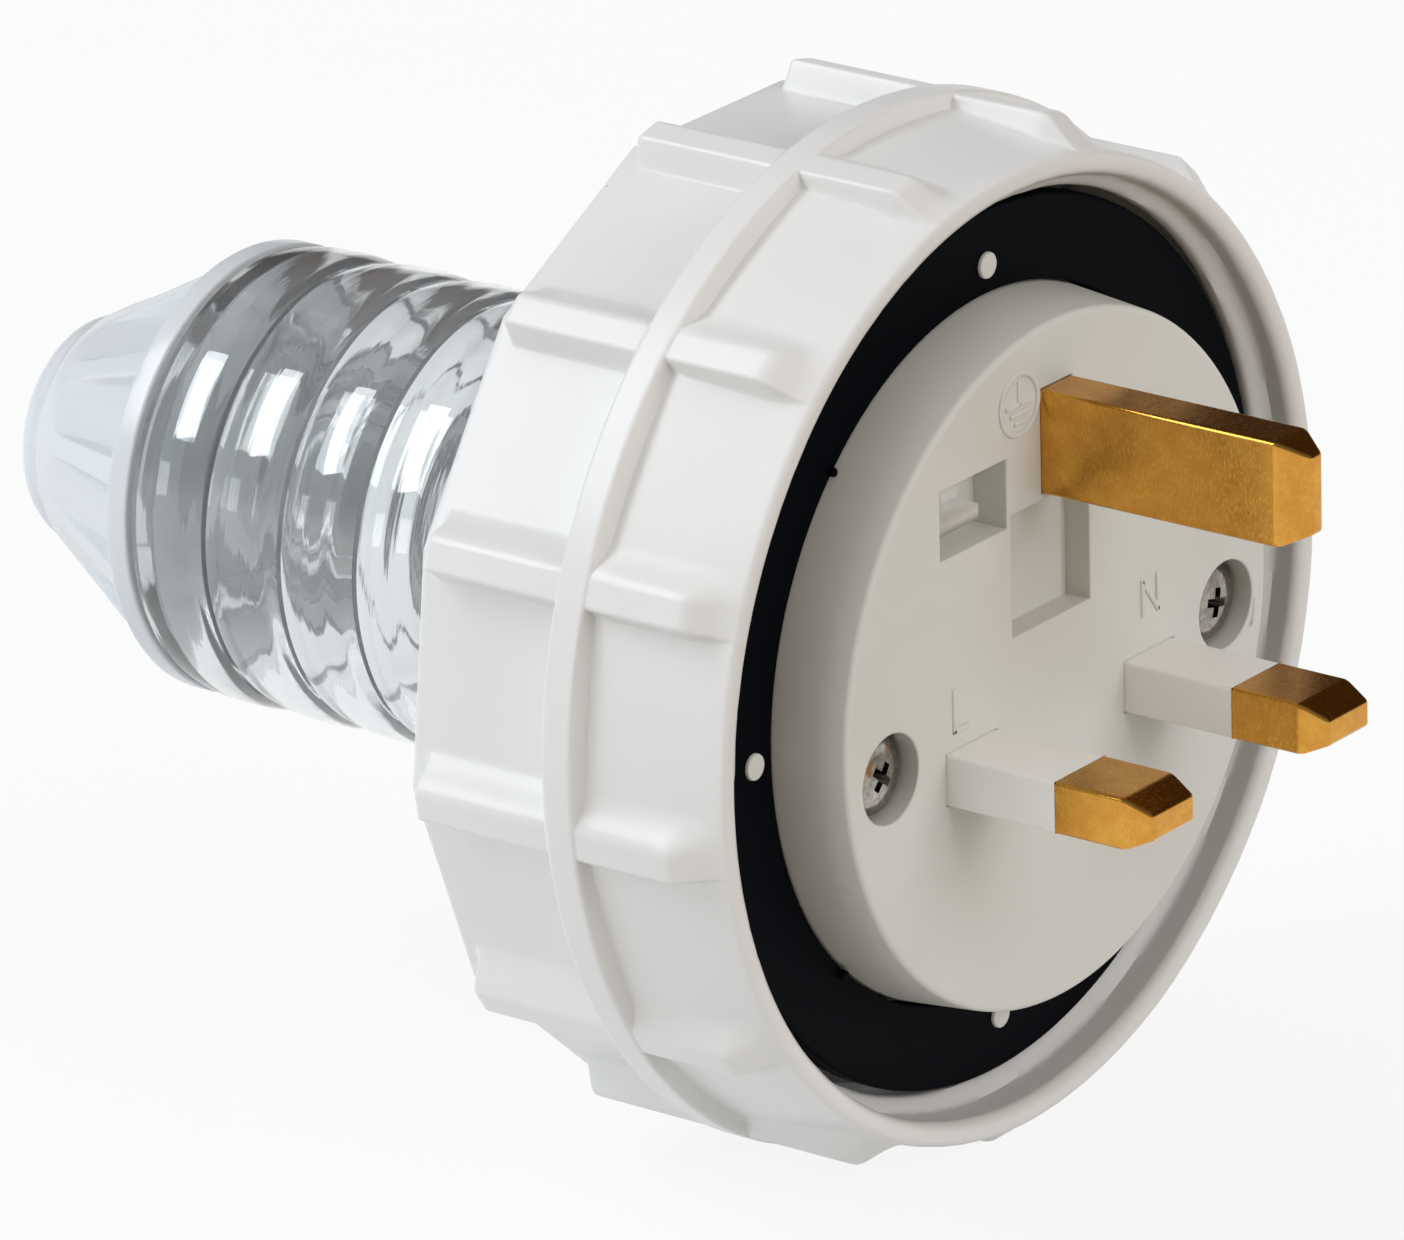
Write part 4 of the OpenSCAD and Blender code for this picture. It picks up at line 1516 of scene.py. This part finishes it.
@dataclass(frozen=True)
class Softbox:
    """A soft lamp aimed at the plug, with its first side along the plug axis; lengths are in metres."""

    name: str
    towards: Triple
    distance: float
    size: Pair
    power: float
    colour: str
    reflected: bool = False

    def build(self, target: Vector) -> bpy.types.Object:
        """Builds the lamp.

        Args:
            target: the point that it is aimed at.

        Returns:
            The lamp.
        """
        data = bpy.data.lights.new(self.name, "AREA")
        data.shape, data.energy = "RECTANGLE", self.power
        data.size, data.size_y = self.size
        data.color = linear(self.colour)[:3]
        lamp = add_object(self.name, data)
        away = Vector(self.towards).normalized()
        lamp.location = target + away * self.distance
        along = (Vector((0, 1, 0)) - away * away.y).normalized()
        lamp.rotation_euler = Matrix((along, away.cross(along), away)).transposed().to_euler()
        lamp.visible_glossy = self.reflected
        lamp.visible_camera = False
        return lamp


@dataclass
class Studio:
    """Pale floor, soft lamps, a pale horizon under a dim ceiling, and the camera."""

    floor_depth: float = 39.6
    floor_reach: float = 4000.0
    floor_steps: int = 96
    floor_colour: str = "#E8EAEC"
    floor_front: str = "#94826A"
    # The floor changes from its front colour to its own between these places on Y, in metres.
    floor_change: Pair = (-0.1, 0.02)
    glow: float = 0.88
    # The surroundings as seen, and as they light the plug, with the part of a ray's X, Y or Z over which they change.
    horizon: str = "#FAFAFA"
    upper_left: str = "#929DA7"
    upper_right: str = "#3E3126"
    plain_back: str = "#9FA6AD"
    plain_front: str = "#8C7E6A"
    side_change: Pair = (-0.8, 0.5)
    horizon_change: Pair = (0.02, 0.14)
    plain_change: Pair = (-0.6, 0.6)
    target: Triple = (0.0, 0.03, 0.0)
    lamps: tuple[Softbox, ...] = (
        Softbox("key_softbox", (-0.5, 0.57, 0.65), 0.75, (0.16, 0.5), 2.3, "#F4F8FF", reflected=True),
        Softbox("overhead_panel", (-0.1, 0.1, 1.0), 1.3, (1.6, 1.6), 6.0, "#FBFCFF"),
        Softbox("front_fill", (0.05, -0.9, 0.35), 1.1, (0.7, 0.7), 6.3, "#FBFBFF"),
        Softbox("left_fill", (-0.95, 0.25, 0.14), 1.1, (0.6, 0.3), 2.8, "#FBFCFF"),
    )
    camera_rows: tuple[tuple[float, ...], ...] = (
        (0.599, 0.2989, -0.7429, -0.7347), (-0.8004, 0.1953, -0.5668, -0.5279),
        (-0.0244, 0.9341, 0.3562, 0.3486), (0.0, 0.0, 0.0, 1.0))
    lens: float = 342.09
    sensor: float = 36.0
    clip_start: float = 0.01

    def seen_rays(self, tree: Tree) -> Socket:
        """An output that is 1 for rays that show the surroundings, and 0 for those that only light the plug.

        Args:
            tree: the tree that it goes into.

        Returns:
            The output.
        """
        rays = add_node(tree, "ShaderNodeLightPath").outputs
        seen = rays["Is Camera Ray"]
        for kind in ("Is Glossy Ray", "Is Transmission Ray"):
            seen = add_node(tree, "ShaderNodeMath", {"operation": "MAXIMUM"}, {0: seen, 1: rays[kind]}).outputs[0]
        return seen

    def paper(self) -> bpy.types.Material:
        """Builds the floor's material: matt pale paper whose glow lifts it to white in view while the shadow stays.

        Returns:
            The material.
        """
        material, tree, shader = new_material("pale_paper_floor")
        axes = add_node(tree, "ShaderNodeSeparateXYZ", None, {0: surface_place(tree)}).outputs
        tone = mix(tree, ramp(tree, axes["Y"], *self.floor_change), self.floor_front, self.floor_colour)
        fill_node(tree, shader, {"Roughness": 0.9, "Specular IOR Level": 0.0}, {"Base Color": tone})
        share = add_node(tree, "ShaderNodeMath", {"operation": "MULTIPLY", 1: self.glow}, {0: self.seen_rays(tree)})
        white = add_node(tree, "ShaderNodeEmission", {"Strength": 1.0})
        mixed = add_node(tree, "ShaderNodeMixShader", None,
                         {0: share.outputs[0], 1: shader.outputs["BSDF"], 2: white.outputs["Emission"]})
        fill_node(tree, tree.nodes["Material Output"], {}, {"Surface": mixed.outputs["Shader"]})
        return material

    def floor(self) -> None:
        """Builds the floor."""
        bm = bmesh.new()
        bmesh.ops.create_circle(bm, cap_ends=True, segments=self.floor_steps, radius=self.floor_reach * MM)
        bmesh.ops.translate(bm, vec=(0, 0, -self.floor_depth * MM), verts=bm.verts)
        mesh = to_mesh(bm, "studio_floor")
        mesh.materials.append(self.paper())
        add_object("studio_floor", mesh)

    def world(self) -> None:
        """Builds the surroundings: white near the horizon, dim above it, cool on the left and brown on the right."""
        world = bpy.data.worlds.new("studio")
        bpy.context.scene.world = world
        world.use_nodes = True
        tree = world.node_tree
        ray = add_node(tree, "ShaderNodeTexCoord").outputs["Generated"]
        axes = add_node(tree, "ShaderNodeSeparateXYZ", None, {0: ray}).outputs
        above = mix(tree, ramp(tree, axes["X"], *self.side_change), self.upper_left, self.upper_right)
        shown = mix(tree, ramp(tree, axes["Z"], *self.horizon_change), self.horizon, above)
        plain = mix(tree, ramp(tree, axes["Y"], *self.plain_change), self.plain_front, self.plain_back)
        fill_node(tree, tree.nodes["Background"], {}, {"Color": mix(tree, self.seen_rays(tree), plain, shown)})

    def camera(self) -> None:
        """Sets the camera at the photograph's viewing angle."""
        data = bpy.data.cameras.new("photo_camera")
        data.lens, data.sensor_width, data.sensor_fit = self.lens, self.sensor, "HORIZONTAL"
        data.clip_start = self.clip_start
        camera = add_object("photo_camera", data)
        camera.matrix_world = Matrix(self.camera_rows)
        bpy.context.scene.camera = camera

    def build(self) -> None:
        """Builds floor, surroundings, lamps and camera."""
        self.floor()
        self.world()
        for lamp in self.lamps:
            lamp.build(Vector(self.target))
        self.camera()
        bpy.context.scene.view_settings.view_transform = "Standard"


def main() -> None:
    """Loads the frame, builds and dresses every piece, and sets the studio."""
    logging.basicConfig(level=logging.INFO, format="%(name)s: %(message)s")
    for obj in list(bpy.data.objects):
        bpy.data.objects.remove(obj)
    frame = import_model()
    for slot, recipe in RECIPES.items():
        FINISHES[slot] = recipe.make()
    for piece in (LockingRing(), RearHousing(), GlandNut(), CarrierScrews(), FaceGasket()):
        piece.build()
    for piece in COPIED_PIECES:
        piece.build(frame)
    for name, slot in KEPT_NODES.items():
        dress_node(frame["nodes"][name], slot)
    Studio().build()


if __name__ == "__main__":
    main()
